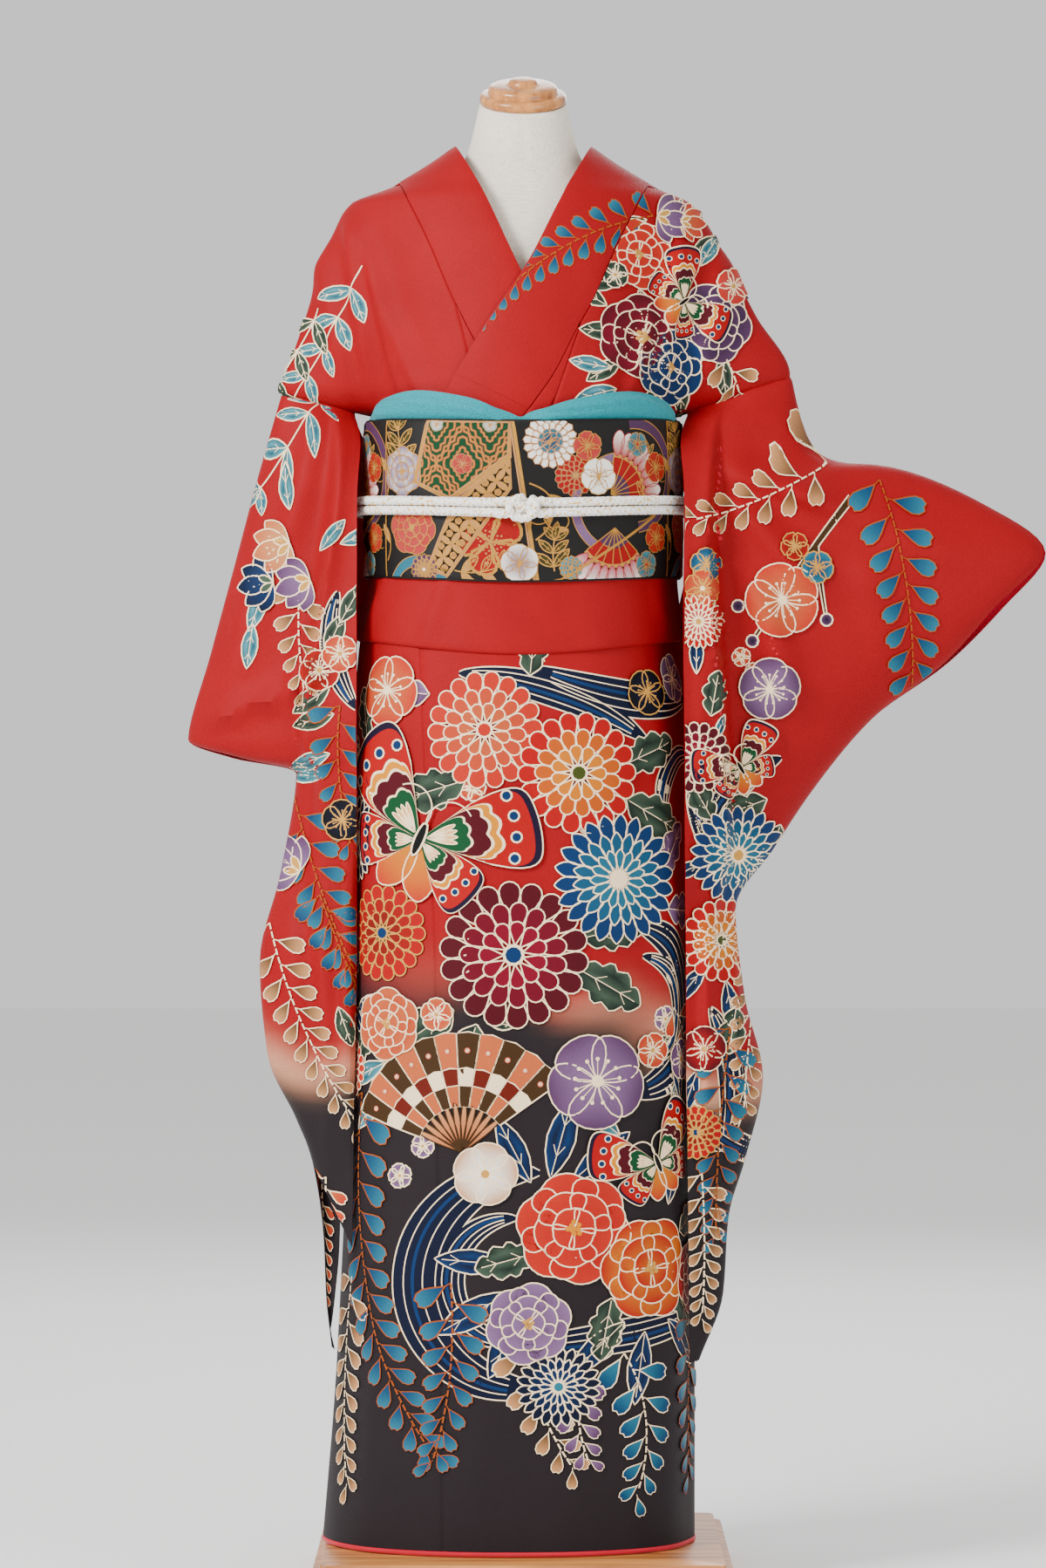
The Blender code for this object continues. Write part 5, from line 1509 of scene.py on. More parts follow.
def skirt_drawing():
    """Flowers, an open fan, butterflies and water on the front, over hanging wisteria."""
    below = listed("""
        water 0: 210 858 200 190 -36 34, 205 800 100 160 130 22, 110 640 240 -8 -172 44,
        120 610 150 -8 -165 22, 20 405 340 178 190 50, 0 362 190 180 185 26, -20 238 250 2 14 30,
        -215 790 130 -70 50 24, -60 880 200 -4 -30 28;
        leaf 3 4 0.5 sage leaf cream: -52 778 196 72, 10 878 84 56, 104 760 -28 72,
        100 792 22 66, 52 600 -30 74, 58 628 12 66, -62 560 214 76, -40 546 252 70,
        -168 704 100 52, -160 815 110 56, 20 330 196 60, 88 285 -100 60, 150 300 -50 60,
        165 345 24 56, -150 545 236 56;
        leaf 5.5 3 0.5 mauve lilac cream: 140 690 52 60, 148 655 -4 62, -90 860 176 54,
        -195 590 60 50;
        leaf 5 0 0.34 blue navy cream: 30 400 76 78, 50 398 40 70, 12 396 118 70, -6 318 176 70,
        -6 292 212 78, 6 276 246 72, 100 262 224 70, 120 252 262 70, 146 262 -44 68,
        -120 570 196 66, -112 552 164 56, 146 372 74 60, 168 470 100 60, -196 560 -30 50;
        leaf 6 0 0.36 ice teal cream: -132 508 204 56, -128 490 232 60, -98 500 -20 56,
        178 284 -8 52, 94 440 140 46;
        raceme 7: -160 478 360 -96 42 40 blue sky orange,
        -170 300 200 -100 26 32 brown sand cream, 100 232 140 -60 -50 34 sky blue cream,
        10 236 120 -80 24 32 brown sand cream, -60 300 170 -84 -20 34 blue sky orange,
        155 560 130 -40 -56 26 peach coral cream, 192 260 150 -96 10 34 ice blue orange,
        60 222 90 -100 30 28 lilac mauve cream""")
    above = listed("""
        chrysanthemum 13: -34 826 56 peach coral cream coral, -136 632 46 rust red gold blue,
        -6 612 70 magenta wine cream blue, 56 785 58 yellow red cream olive,
        -186 500 30 rose coral cream gold;
        pointed 17: 94 684 62 sky blue cream cream, -182 722 42 blue navy cream gold,
        40 202 38 blue navy cream sky;
        peony 18: 52 352 52 red coral cream yellow, 126 312 48 yellow red cream gold,
        196 300 36 wine red cream yellow, 12 262 38 mauve lilac cream gold,
        -130 545 34 coral peach cream gold;
        plum 22: -136 864 34 peach coral cream cream, 72 492 46 lilac mauve cream cream,
        -78 555 16 coral peach cream gold, -30 404 30 white sand cream gold,
        128 520 17 peach coral cream gold, 168 510 20 lilac mauve cream gold,
        176 876 24 mauve lilac cream cream, 130 862 22 navy black gold gold;
        butterfly 27: -96 722 200 -24, 132 412 120 24""")
    return joined([*strewn((-0.21, 0.40), (0.21, 0.86), 5, 20, 0.010), *below,
                   placed(open_fan(0.112), -0.052, 0.425, 0.16, 1.0, 9.0), *above])


def skirt_back_drawing():
    """The hidden back: the same kinds of motifs, fewer, from side to side."""
    parts = listed("""
        water 0: 300 560 260 8 -60 40, 620 480 240 170 60 40, 400 330 240 20 -40 34""")
    parts += [motif("leaf", 4.0, n, (4, 0.5), tints("sage leaf cream"), 0.27 + 0.05 * n,
                    0.66 + 0.07 * np.sin(2.3 * n), 70 + 97 * n, length=0.066) for n in range(9)]
    parts += [motif("leaf", 5.0, n, (0, 0.34), tints("blue navy cream"), 0.28 + 0.055 * n,
                    0.50 + 0.06 * np.sin(1.7 * n + 1), 50 + 83 * n, length=0.070)
              for n in range(9)]
    shades = [tints(names) for names in ("blue sky orange", "brown sand cream", "ice teal orange")]
    parts += [motif("raceme", 7.0, n, (), shades[n % 3], 0.28 + 0.075 * n,
                    0.46 + 0.04 * math.sin(2.0 * n), -92 + 6 * math.sin(n),
                    length=0.26 + 0.03 * (n % 3), bend=12, size=0.036) for n in range(6)]
    return joined(parts + listed("""
        chrysanthemum 12: 300 700 52 peach coral cream coral, 420 610 66 magenta wine cream blue,
        560 700 54 yellow red cream olive, 660 610 46 rust red gold blue;
        pointed 18: 490 540 56 sky blue cream cream, 620 500 42 rose red cream gold;
        peony 20: 330 500 50 red coral cream yellow, 560 420 44 yellow red cream gold;
        plum 22: 370 780 34 peach coral cream cream, 500 780 30 lilac mauve cream cream,
        640 760 32 peach coral cream cream, 440 430 36 lilac mauve cream cream;
        butterfly 30: 470 700 150 20"""))


def right_sleeve_drawing():
    """Wearer's right sleeve: leaves and bellflowers over long sprays of wisteria."""
    spray = leaf_spray(-0.186, 1.160, 0.12, 244, -20, *tints("ice teal cream"), 4, 0.038)
    return joined([placed(spray, up=2.0), *listed("""
        water 0: -178 960 120 -110 60 20;
        leaf 4.5 0 0.36 ice teal cream: -236 990 214 42, -250 966 250 46, -262 930 262 44,
        -226 1040 100 40, -196 1000 50 38, -186 804 200 44, -192 782 176 42, -176 1006 20 40;
        leaf 4 0 0.44 sage leaf cream: -190 900 66 42, -186 868 214 44, -182 842 196 42,
        -176 930 60 42, -178 560 -70 40;
        raceme 7: -216 966 100 -94 14 28 brown sand cream,
        -176 850 140 -96 22 30 blue sky orange, -222 762 210 -76 14 34 blue sky orange,
        -196 668 130 -70 6 30 sky blue orange, -246 640 220 -76 22 30 brown sand cream,
        -190 396 120 -92 6 22 peach coral cream;
        bellflower 20: -226 1008 38 sand peach cream gold, -242 970 36 blue navy cream sage,
        -206 972 36 lilac mauve cream gold, -216 690 40 lilac mauve cream gold;
        plum 22: -196 884 20 rust red cream gold, -176 900 18 peach coral cream gold,
        -174 740 20 navy black gold gold""")])


def left_sleeve_drawing():
    """Wearer's left sleeve: sprays over the cuff, a plum branch, and flowers below."""
    plum = branch(0.318, 1.052, 0.17, 232, 14, 0.006, *tints("brown cream"))
    return joined([*listed("""
        water 0: 160 780 130 -80 40 24, 250 800 140 200 70 26, 180 560 140 -60 -50 26,
        160 470 140 -56 60 24"""), placed(plum, up=3.0), *listed("""
        leaf 5 3 0.5 sage leaf cream: 236 760 200 50, 250 735 250 50, 182 740 120 46,
        176 640 240 46, 216 640 -60 46, 180 840 80 44, 206 560 -100 46;
        leaf 6 0 0.34 blue navy cream: 176 600 230 48, 196 585 -80 52, 178 700 200 44,
        168 500 250 48, 166 880 90 40;
        raceme 8: 296 1086 150 214 -22 32 brown sand cream,
        346 1070 290 -72 -26 37 blue sky orange, 236 620 160 -104 12 28 brown sand cream,
        200 540 200 -98 8 32 blue sky orange, 172 400 140 -86 -8 24 brown sand cream;
        plum 22: 250 952 36 peach coral cream cream, 284 984 16 blue sky gold gold,
        262 1004 14 rust red gold gold, 238 866 30 lilac mauve cream cream,
        176 985 16 sky blue gold gold, 172 962 18 peach coral gold cream,
        174 520 22 red wine cream gold;
        pointed 26: 208 706 48 sky blue cream gold, 168 930 26 rose red cream gold;
        chrysanthemum 26: 192 624 40 yellow red cream olive, 166 800 34 magenta wine cream blue,
        166 440 26 rust red gold blue;
        butterfly 32: 210 790 86 30"""),
                   *strewn((0.16, 0.50), (0.24, 0.90), 21, 8, 0.009)])


COLLAR_SPRAY = "124 1322 200 194 38 25 blue sky orange"


def left_chest_drawing():
    """Wearer's left shoulder: peonies, a butterfly, bellflowers, and leaves to the collar."""
    return joined(listed("""
        leaf 0 0 0.44 sage leaf cream: 96 1262 196 44, 78 1232 150 38, 92 1206 176 40,
        90 1180 214 38, 150 1176 -86 42, 128 1160 -110 40, 190 1190 -80 40, 110 1250 -70 36,
        160 1282 40 40, 118 1318 200 36;
        leaf 4 0 0.4 ice teal cream: 80 1172 170 38, 86 1152 196 40, 170 1276 60 36,
        146 1306 80 36;
        raceme 6: 196 1186 50 -60 -20 26 brown sand cream, """ + COLLAR_SPRAY + """;
        peony 8: 110 1284 33 red coral cream gold, 182 1220 38 plum mauve cream gold,
        110 1204 40 magenta wine cream gold, 138 1178 34 navy blue cream gold;
        bellflower 15: 128 1322 32 lilac mauve cream gold, 150 1318 26 peach coral cream gold;
        plum 15: 200 1256 18 rose coral cream gold, 86 1262 13 sage leaf cream gold;
        butterfly 18: 150 1240 92 -60"""))


def right_chest_drawing():
    """Wearer's right shoulder: a spray of leaves from the shoulder to the sleeve."""
    return joined([placed(leaf_spray(x, z, length, 244, -10, *tints(shades), pairs, 0.036), up=up)
                   for x, z, length, shades, pairs, up in (
                       (-0.150, 1.275, 0.15, "ice teal cream", 5, 0.0),
                       (-0.196, 1.236, 0.08, "sage leaf cream", 3, 4.0))])


def make_robe_motifs():
    """Lay the motifs on every part of the robe that has them, in front and behind."""
    slot = "red_silk_crepe"
    right, left = right_sleeve_drawing(), left_sleeve_drawing()
    printed("motifs_skirt_front", skirt_drawing(), on_skirt(True), slot, 0.0100)
    printed("motifs_skirt_back", skirt_back_drawing(), on_skirt(False), slot, 0.014)
    for side, drawn, layer in (("right", right, "front"), ("right", right, "back"),
                               ("right", right, "inside"), ("left", left, "front"),
                               ("left", left, "back")):
        printed("motifs_sleeve_%s_%s" % (side, layer), drawn, on_sleeve(side, layer), slot,
                0.006 if layer == "front" else 0.010)
    for side, drawn in (("right", right_chest_drawing()), ("left", left_chest_drawing())):
        for layer, longest in (("front", 0.006), ("back", 0.009)):
            printed("motifs_bodice_%s_%s" % (side, layer), drawn,
                    on_bodice(side, layer == "front"), slot, longest)
    printed("motifs_collar", joined(listed("raceme 0: " + COLLAR_SPRAY)),
            on_collar(LEFT_COLLAR, 1.17), slot, 0.0045, 1.0)


def obi_surface(angle, share, out=0.0):
    """Point of the obi's face at an angle and a share of its height."""
    angle, share, out = np.broadcast_arrays(angle, share, out)
    raised = rise(angle, OBI_RISE)
    z = between(OBI[0] + raised, OBI[1] + 0.8 * raised, share)
    crown = 0.0012 * np.sin(math.pi * share)
    roll = 0.0016 * (np.exp(-(share / 0.012) ** 2) + np.exp(-((1 - share) / 0.012) ** 2))
    dent = 0.0007 * np.exp(-((share - 0.46) / 0.10) ** 2)
    return worn(angle, z, OBI_OUT + crown - roll - dent + out)


def bow_cloth(x, share, out=0.0):
    """Point of the bow's outer face at a place across it and a share down its length."""
    x, share, out = np.broadcast_arrays(x, share, out)
    back = at_height(BODY, "back", 1.05) + OBI_OUT
    knot = np.arange(len(BOW["z"]), dtype=float)

    def point(at):
        return stacked(smooth(knot, back + BOW["behind"], at), smooth(knot, BOW["z"], at))
    at = np.asarray(share) * (len(knot) - 1.0)
    normal = unit((point(at + 0.02) - point(at - 0.02))[..., ::-1] * (1.0, -1.0))
    soft = 0.0016 * np.sin(math.pi * share) * np.cos(x * math.pi / BOW_HALF_WIDTH)
    row = point(at) - normal * out[..., None] - normal * soft[..., None]
    return np.concatenate([x[..., None], row], axis=-1)


def make_obi():
    """The band with rounded edges and the drum bow behind it."""
    angles = np.linspace(-math.pi, math.pi, 181)[None, :-1]
    share = spread(34)[:, None]
    cloth("obi_band_cloth", "obi_band", obi_surface(angles, share),
          obi_surface(angles, share, -0.0036), colour("satin"), silk="brocade",
          ring=True)
    wide = np.linspace(-BOW_HALF_WIDTH, BOW_HALF_WIDTH, 40)[None, :]
    down = np.linspace(0.0, 1.0, 96)[:, None]
    cloth("obi_bow_cloth", "obi_bow", bow_cloth(wide, down), bow_cloth(wide, down, -BOW_WALL),
          colour("satin"), silk="brocade")


# Height of the sash's drawing, how far apart its copies lie up the bow, and the bow's length
SASH_HEIGHT = 0.155
SASH_REPEAT = 0.165
BOW_LENGTH = 0.56


def on_obi(u, v, height):
    """On the band: u runs along the cloth, v up from its lower edge."""
    share = np.clip(v / SASH_HEIGHT, 0.012, 0.988)
    return (obi_surface(np.interp(u, OBI_GIRTH, TURNS), share, height),
            share != v / SASH_HEIGHT)


def on_bow(u, v, height):
    """On the bow: u runs across it, v up along its cloth from the lower end."""
    x = np.clip(u, -BOW_HALF_WIDTH + 0.002, BOW_HALF_WIDTH - 0.002)
    share = np.clip(v / BOW_LENGTH, 0.10, 0.97)
    return bow_cloth(x, 1.0 - share, height), (x != u) | (share != v / BOW_LENGTH)


def cut_to(part, corners):
    """Keep the faces of a drawing whose middle lies inside a convex outline."""
    part = refined(part, 0.003)
    middle = part["points"][part["faces"]].mean(axis=1)
    corners = np.asarray(corners, float)
    ahead = np.roll(corners, -1, axis=0) - corners
    side = (ahead[:, 0] * (middle[:, None, 1] - corners[:, 1])
            - ahead[:, 1] * (middle[:, None, 0] - corners[:, 0]))
    keep = (side > 0).all(axis=1) | (side < 0).all(axis=1)
    return dict(part, faces=part["faces"][keep], thread=part["thread"][keep])


def gold_line(path, width=0.0016, level=3.0, closed=False):
    """Line of gold thread along a path."""
    return line(path, width, INK["gold"], level, closed, 1)


def tendril(x, z, length, direction, bend):
    """Gold tendril that winds up at its end, with a small leaf near its start."""
    share = np.linspace(0.0, 1.0, 40)
    turn = direction * DEG + bend * DEG * share ** 1.6
    way = ways(turn) * (length / 39.0)
    path = np.array((x, z)) + np.concatenate([[(0.0, 0.0)], np.cumsum(way[:-1], axis=0)])
    one = petal(0.30 * length, 0.10 * length, *tints("gold sand gold"), 0.5, 0.8, 1.0,
                width=0.0010, thread=1)
    return joined([gold_line(path, 0.0014 * (1.15 - 0.5 * share), 1.0),
                   placed(one, *path[10], turn[10] - 1.2)])


def panel_of(corners, name, level, inside, sand, gold):
    """Panel of one colour with a pattern cut to it, and round it a line of sand colour and one
    of gold, each with its width and level."""
    return joined([filled(corners, INK[name], INK[name], level), cut_to(inside, corners),
                   line(corners, sand[0], INK["sand"], sand[1], True),
                   gold_line(corners, *gold, True)])


def lattice_panel(corners):
    """Green panel with nested zigzag lozenges in gold, and small florets in their middles."""
    lozenges = []
    steps = np.linspace(0.0, 1.0, 9)
    for size in (1.0, 0.72, 0.44):
        zig = np.abs(np.arange(9) % 2) * 0.0022 * size
        edge = stacked(0.026 * size * (1 - steps) + zig, 0.036 * size * steps + zig)
        loop = np.concatenate([edge, (edge * (-1, 1))[::-1], edge * (-1, -1),
                               (edge * (1, -1))[::-1]])
        lozenges += [line(loop, 0.0026, INK["peach"], 0.9, True),
                     gold_line(loop, 0.0011, 1.6, True)]
    red = plum_blossom(0.0100, *tints("coral rose sand gold"), 1, 0.0006)
    white = plum_blossom(0.0072, *tints("white ice gold gold"), 1, 0.0005)
    across, up = np.meshgrid(np.arange(-4, 5), np.arange(-4, 5))
    odd = (across + up) % 2 == 0
    x, z = 0.0265 * across[odd] - 0.058, 0.0375 * up[odd] + 0.112
    bright = (across[odd] % 2) == 0
    inside = joined([placed(joined(lozenges), x, z),
                     placed(red, x[bright], z[bright], 0.3, 1.0, 2.0),
                     placed(white, x[~bright], z[~bright], 0.3, 1.0, 2.0)])
    return panel_of(corners, "green", 0.0, inside, (0.0058, 2.4), (0.0030, 3.6))


def ring_panel(corners, turn):
    """Black band with gold circles that overlap by a quarter, and a floret in each."""
    arc = petal(0.0150, 0.0062, *tints("gold sand gold"), 0.5, 0.85, 0.8, width=0.0007, thread=1)
    star = plum_blossom(0.0034, *tints("gold sand gold coral"), 1, 0.0005)
    across, up = np.meshgrid(np.arange(-8, 9), np.arange(-8, 9))
    x, z = 0.0150 * across.ravel(), 0.0150 * up.ravel()
    centre, cosine, sine = np.mean(corners, axis=0), math.cos(turn), math.sin(turn)
    grid = joined([
        placed(part, centre[0] + cosine * u - sine * v, centre[1] + sine * u + cosine * v,
               turn + extra) for part, u, v, extra in (
            (arc, x, z, 0.0), (arc, x, z, -0.5 * math.pi), (star, x + 0.0075, z + 0.0075, 0.0))])
    return panel_of(corners, "black", 1.0, placed(grid, up=1.0), (0.0036, 3.0), (0.0018, 4.0))


def folding_fan(x, z, radius, start, end, inner, outer):
    """Open fan: a plain inner band, petals along the rim, and gold ribs from the pivot."""
    turn = np.linspace(start, end, 19) * DEG
    way = ways(turn)

    def band(low, high, shade, level):
        ring = np.concatenate([way * low * radius, (way * high * radius)[::-1]])
        count = len(turn)
        j = np.arange(count - 1)
        faces = np.concatenate([stacked(j, j + 1, 2 * count - 1 - j),
                                stacked(j + 1, 2 * count - 2 - j, 2 * count - 1 - j)])
        return drawing(ring, faces, shade, level)
    rim = petal(0.42 * radius, 0.21 * radius, outer, *tints("white rose"), 0.6, 0.5, 3.0,
                width=0.0009)
    spots = way[1::2] * 0.62 * radius
    ribs = [gold_line([(0.0, 0.0), tuple(end_of * 0.60 * radius)], 0.0011, 4.0)
            for end_of in way[::3]]
    return placed(joined([
        band(0.10, 0.36, INK["mauve"], 1.2), band(0.34, 0.62, inner, 1.8),
        band(0.60, 0.66, INK["gold"], 2.4), *ribs,
        placed(rim, spots[:, 0], spots[:, 1], turn[1::2] - 0.5 * math.pi)]), x, z)


def arc_band(x, z, radius, start, end, name, width=0.0085):
    """Broad arc of satin stitches between two gold lines."""
    way = ways(np.linspace(start, end, 40) * DEG)
    path = np.array((x, z)) + way * radius
    return joined([line(path, width, INK[name], 0.6),
                   gold_line(path + way * 0.5 * width, 0.0009, 1.4),
                   gold_line(path - way * 0.5 * width, 0.0009, 1.4)])


def heart_flower(x, z, radius):
    """Flower with five heart-shaped petals rimmed with gold, and a dense gold tuft."""
    one = edged(lobed_outline(radius, 0.98 * radius, 2, 0.30), *tints("red red gold"), 0.0030,
                1.0, thread=1)
    step = np.arange(34)
    reach = 0.42 * radius * np.sqrt(step / 34.0)
    beads = placed(disc(0.0011, *tints("gold sand"), 5.0, 6),
                   reach * np.cos(2.4 * step), reach * np.sin(2.4 * step))
    return placed(joined([ring_of(one, 5, 0.0, 0.3), beads]), x, z)


def sash_drawing():
    """Motifs of the sash on its front, in metres from the middle and from the lower edge."""
    def flower(kind, radius, x, z, up, turn, shades, *more):
        return placed(kind(radius, *tints(shades), *more, width=0.0009, thread=1), x, z, turn,
                      1.0, up)

    def spray(x, z, length, direction, bend, shades, pairs, size):
        return leaf_spray(x, z, length, direction, bend, *tints(shades), pairs, size)

    def gold_sprig(x, z, direction, bend):
        return placed(spray(0.0, 0.0, 0.046, direction, bend, "gold sand gold", 3, 0.022), x, z)
    plum, many = plum_blossom, chrysanthemum
    return joined([
        gold_line([(-0.1475, 0.0), (-0.1475, SASH_HEIGHT)], 0.0018),
        tendril(-0.1450, 0.018, 0.070, 62, 330), tendril(-0.1450, 0.084, 0.070, 70, 330),
        spray(-0.128, 0.108, 0.036, 84, 20, "olive brown gold", 3, 0.026),
        flower(peony, 0.0235, -0.124, 0.104, 1.0, 0.0, "white lilac gold gold"),
        flower(peony, 0.0260, -0.112, 0.050, 3.0, 0.4, "coral rose gold gold"),
        arc_band(-0.106, -0.012, 0.030, 20, 168, "sky", 0.010),
        flower(many, 0.0150, -0.098, 0.010, 2.0, 0.0, "gold mauve gold white", 14),
        lattice_panel([(-0.094, 0.154), (-0.013, 0.154), (-0.013, 0.120), (-0.070, 0.078),
                       (-0.108, 0.094)]),
        ring_panel([(-0.094, 0.010), (-0.074, 0.004), (-0.012, 0.090), (-0.012, 0.118),
                    (-0.066, 0.074)], 0.95),
        heart_flower(-0.031, 0.038, 0.031),
        gold_sprig(-0.066, 0.010, -12, 40), gold_sprig(-0.046, 0.062, 20, -30),
        flower(plum, 0.0185, -0.003, 0.018, 4.0, 0.2, "lilac white gold gold"),
        gold_line([(-0.010, SASH_HEIGHT), (0.014, 0.0)], 0.0034),
        line([(-0.013, SASH_HEIGHT), (0.011, 0.0)], 0.0018, INK["sand"], 2.0),
        tendril(0.006, 0.094, 0.085, -20, -300), tendril(0.012, 0.040, 0.080, 36, 320),
        tendril(0.020, 0.060, 0.050, -60, 300),
        flower(many, 0.0260, 0.026, 0.134, 2.0, 0.1, "white white sand gold", 18),
        flower(many, 0.0120, 0.026, 0.134, 7.0, 0.4, "blue sky sand gold", 9),
        flower(many, 0.0200, 0.050, 0.101, 0.0, 0.2, "red red sand gold", 16),
        arc_band(0.096, 0.072, 0.046, 84, 262, "lilac"),
        arc_band(0.112, 0.100, 0.050, -84, 96, "mauve", 0.010),
        folding_fan(0.086, 0.082, 0.060, -12, 86, *tints("red rose")),
        folding_fan(0.090, 0.050, 0.058, 215, 318, *tints("red pink")),
        flower(plum, 0.0145, 0.062, 0.129, 4.0, 0.2, "coral rose gold gold"),
        flower(plum, 0.0180, 0.073, 0.100, 6.0, 0.6, "white white gold gold"),
        flower(plum, 0.0150, 0.140, 0.108, 6.0, 0.3, "red coral gold gold"),
        flower(plum, 0.0120, 0.116, 0.130, 5.0, 0.5, "teal ice gold coral"),
        spray(0.030, 0.010, 0.030, 100, -20, "olive brown gold", 3, 0.022),
        flower(many, 0.0115, 0.046, 0.013, 3.0, 0.0, "sky ice gold gold", 12),
        spray(0.124, 0.070, 0.050, 70, 30, "sage olive gold", 4, 0.020),
        gold_line([(0.030, -0.002), (0.140, 0.062)], 0.0026, 6.0),
        flower(plum, 0.0150, 0.141, 0.040, 5.0, 0.3, "coral coral gold gold"),
        flower(plum, 0.0135, 0.128, 0.014, 5.0, 0.1, "teal ice gold coral")])


def make_sash_figures():
    """The same motifs round the band three times, and up the bow."""
    flat, slot = sash_drawing(), "black_gold_brocade"
    period = (OBI_GIRTH[ONE_TURN] - OBI_GIRTH[0]) / 3.0
    for n, name in enumerate(("front", "left", "right")):
        printed("sash_figures_" + name, changed(flat, 1.0, (n * period, 0.0)), on_obi, slot,
                0.011)
    rows = [changed(flat, 1.0, (0.0, SASH_REPEAT * n)) for n in range(4)]
    printed("sash_figures_bow", joined(rows), on_bow, slot, 0.009)


# How far the scarf's edge stands over the sash, in tenths of a millimetre, by angle in degrees
SCARF_CREST = {-180: 30, -100: 10, -84: 10, -62: 190, -45: 250, -24: 200, -5: 50, -1: 15, 3: 60,
               24: 190, 45: 240, 66: 160, 84: 10, 100: 10, 180: 30}


def make_scarf():
    """Two soft crescents that stand out of the sash's upper edge, crinkled all over."""
    angles = np.linspace(-math.pi, math.pi, 281)[None, :-1]
    crest = smooth(np.array(list(SCARF_CREST)) * DEG,
                   np.array(list(SCARF_CREST.values())) / 10000.0, angles)
    top = OBI[1] + 0.8 * rise(angles, OBI_RISE)
    f = np.linspace(0.0, 1.0, 21)[:, None]
    heights = top - 0.020 + (0.021 + crest) * f
    puff = ease(crest, 0.002, 0.016) * ease(f, 0.4, 0.7) * (1 - 0.55 * ease(f, 0.8, 1.0))
    wrinkle = (0.0008 * np.sin(angles * 9 + 26 * f + 2 * np.sin(angles * 5))
               + 0.0004 * np.sin(angles * 61 + 40 * f + 3 * np.sin(angles * 17))) * puff
    cloth("scarf_cloth", "obi_scarf", worn(angles, heights, 0.0092 + 0.0066 * puff + wrinkle),
          worn(angles, heights, 0.0076 + 0.0022 * puff), colour("scarf"),
          silk="scarf", ring=True)


def braided(name, path, reference, radius, closed, sides=14):
    """Round braid along a path: crossing strands rise where two slanting waves are high."""
    way = unit(np.roll(path, -1, axis=0) - np.roll(path, 1, axis=0) if closed
               else np.gradient(path, axis=0))
    across = unit(np.cross(way, reference))
    other = np.cross(across, way)
    step = np.linalg.norm(np.diff(path, axis=0), axis=1)
    along = np.concatenate([[0.0], np.cumsum(step)])
    total = along[-1] + (np.linalg.norm(path[0] - path[-1]) if closed else 0.0)
    waves = max(1, round(total / sizes().braid_pitch))
    u = (2 * math.pi * waves * along / total)[:, None]
    turn = np.linspace(0.0, 2 * math.pi, sides + 1)[:-1][None]
    bump = np.maximum(np.cos(u + 3 * turn), np.cos(u - 3 * turn))
    size = radius * (0.84 + 0.20 * bump)
    if not closed:
        near = np.clip(np.minimum(along, total - along) / radius, 0.0, 1.0)
        size = size * np.sqrt(np.clip(near * (2 - near), 0.0001, 1.0))[:, None]
    points = path[:, None] + size[..., None] * (np.cos(turn)[..., None] * across[:, None]
                                                + np.sin(turn)[..., None] * other[:, None])
    count = len(path)
    faces = [tuple(face) for face in quads(count, sides, True, closed)[:, ::-1]]
    if not closed:
        faces += [tuple(range(sides)), tuple(range((count - 1) * sides, count * sides))[::-1]]
    made = mesh_object("belt_" + name, points.reshape(-1, 3), faces, (finish("braid"),))
    return made


# The flat knot's three turns of cord: x, z and how far in front of the cord's own place, in
# tenths of a millimetre
KNOT = {
    "knot_over": "-300 44 0, -180 62 -46, -40 26 -78, 100 -42 -70, 200 -64 -40, 300 -44 0",
    "knot_under": "-300 -44 0, -200 -66 -36, -80 -46 -40, 60 36 -40, 160 64 -40, 280 44 0",
    "knot_wrap": """20 100 -16, -80 70 -82, -130 -10 -86, -90 -88 -66, 10 -108 -78, 100 -60 -84,
                 125 30 -76, 70 100 -16"""}
KNOT_RADIUS = 0.0042


def make_cord():
    """Two strands round the sash, one over the other, tied in a flat knot in front."""
    angles = np.linspace(-math.pi, math.pi, 821)[:-1]
    out = OBI_OUT + 0.0012 + CORD_RADIUS
    for name, level in (("cord_upper", 0.5), ("cord_lower", -0.5)):
        z = CORD_Z + rise(angles, CORD_RISE) + level * CORD_SPACING
        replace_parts(braided(name, worn(angles, z, out), (0.0, 0.0, 1.0), 0.5 * sizes().braid,
                            True), name)
    front = float(worn(0.0, CORD_Z, out)[1])
    for name, rows in KNOT.items():
        x, z, y = table("x z y", rows).values()
        at, knots = np.linspace(0.0, len(x) - 1.0, 110), np.arange(len(x), dtype=float)
        path = stacked(smooth(knots, x, at), front + smooth(knots, y, at),
                       CORD_Z + smooth(knots, z, at))
        for _ in range(10):
            path[1:-1] = 0.25 * path[:-2] + 0.5 * path[1:-1] + 0.25 * path[2:]
        made = braided(name, path, (0.0, 1.0, 0.0), KNOT_RADIUS, False, 16)
        if name == "knot_over":
            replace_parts(made, "cord_knot")


def capped(name, stands_for, rings, material, sharp=50):
    """Closed solid through rings of points, with its two ends filled by fans."""
    rings = np.asarray(rings, float)
    count, sides = rings.shape[:2]
    side_faces = quads(count, sides, True)
    edge = np.arange(sides)
    after, last, tip = (edge + 1) % sides, (count - 1) * sides, np.full(sides, count * sides)
    points = np.concatenate([rings.reshape(-1, 3), [rings[0].mean(axis=0), rings[-1].mean(axis=0)]])
    faces = [tuple(face) for part in (side_faces, stacked(after, edge, tip),
                                      stacked(last + edge, last + after, tip + 1))
             for face in part]
    if inside_out(points, side_faces, points[side_faces[:, 0]] - points.mean(axis=0)):
        faces = [face[::-1] for face in faces]
    made = mesh_object(name, points, faces, (finish(material),))
    made.data.set_sharp_from_angle(angle=sharp * DEG)
    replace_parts(made, stands_for)


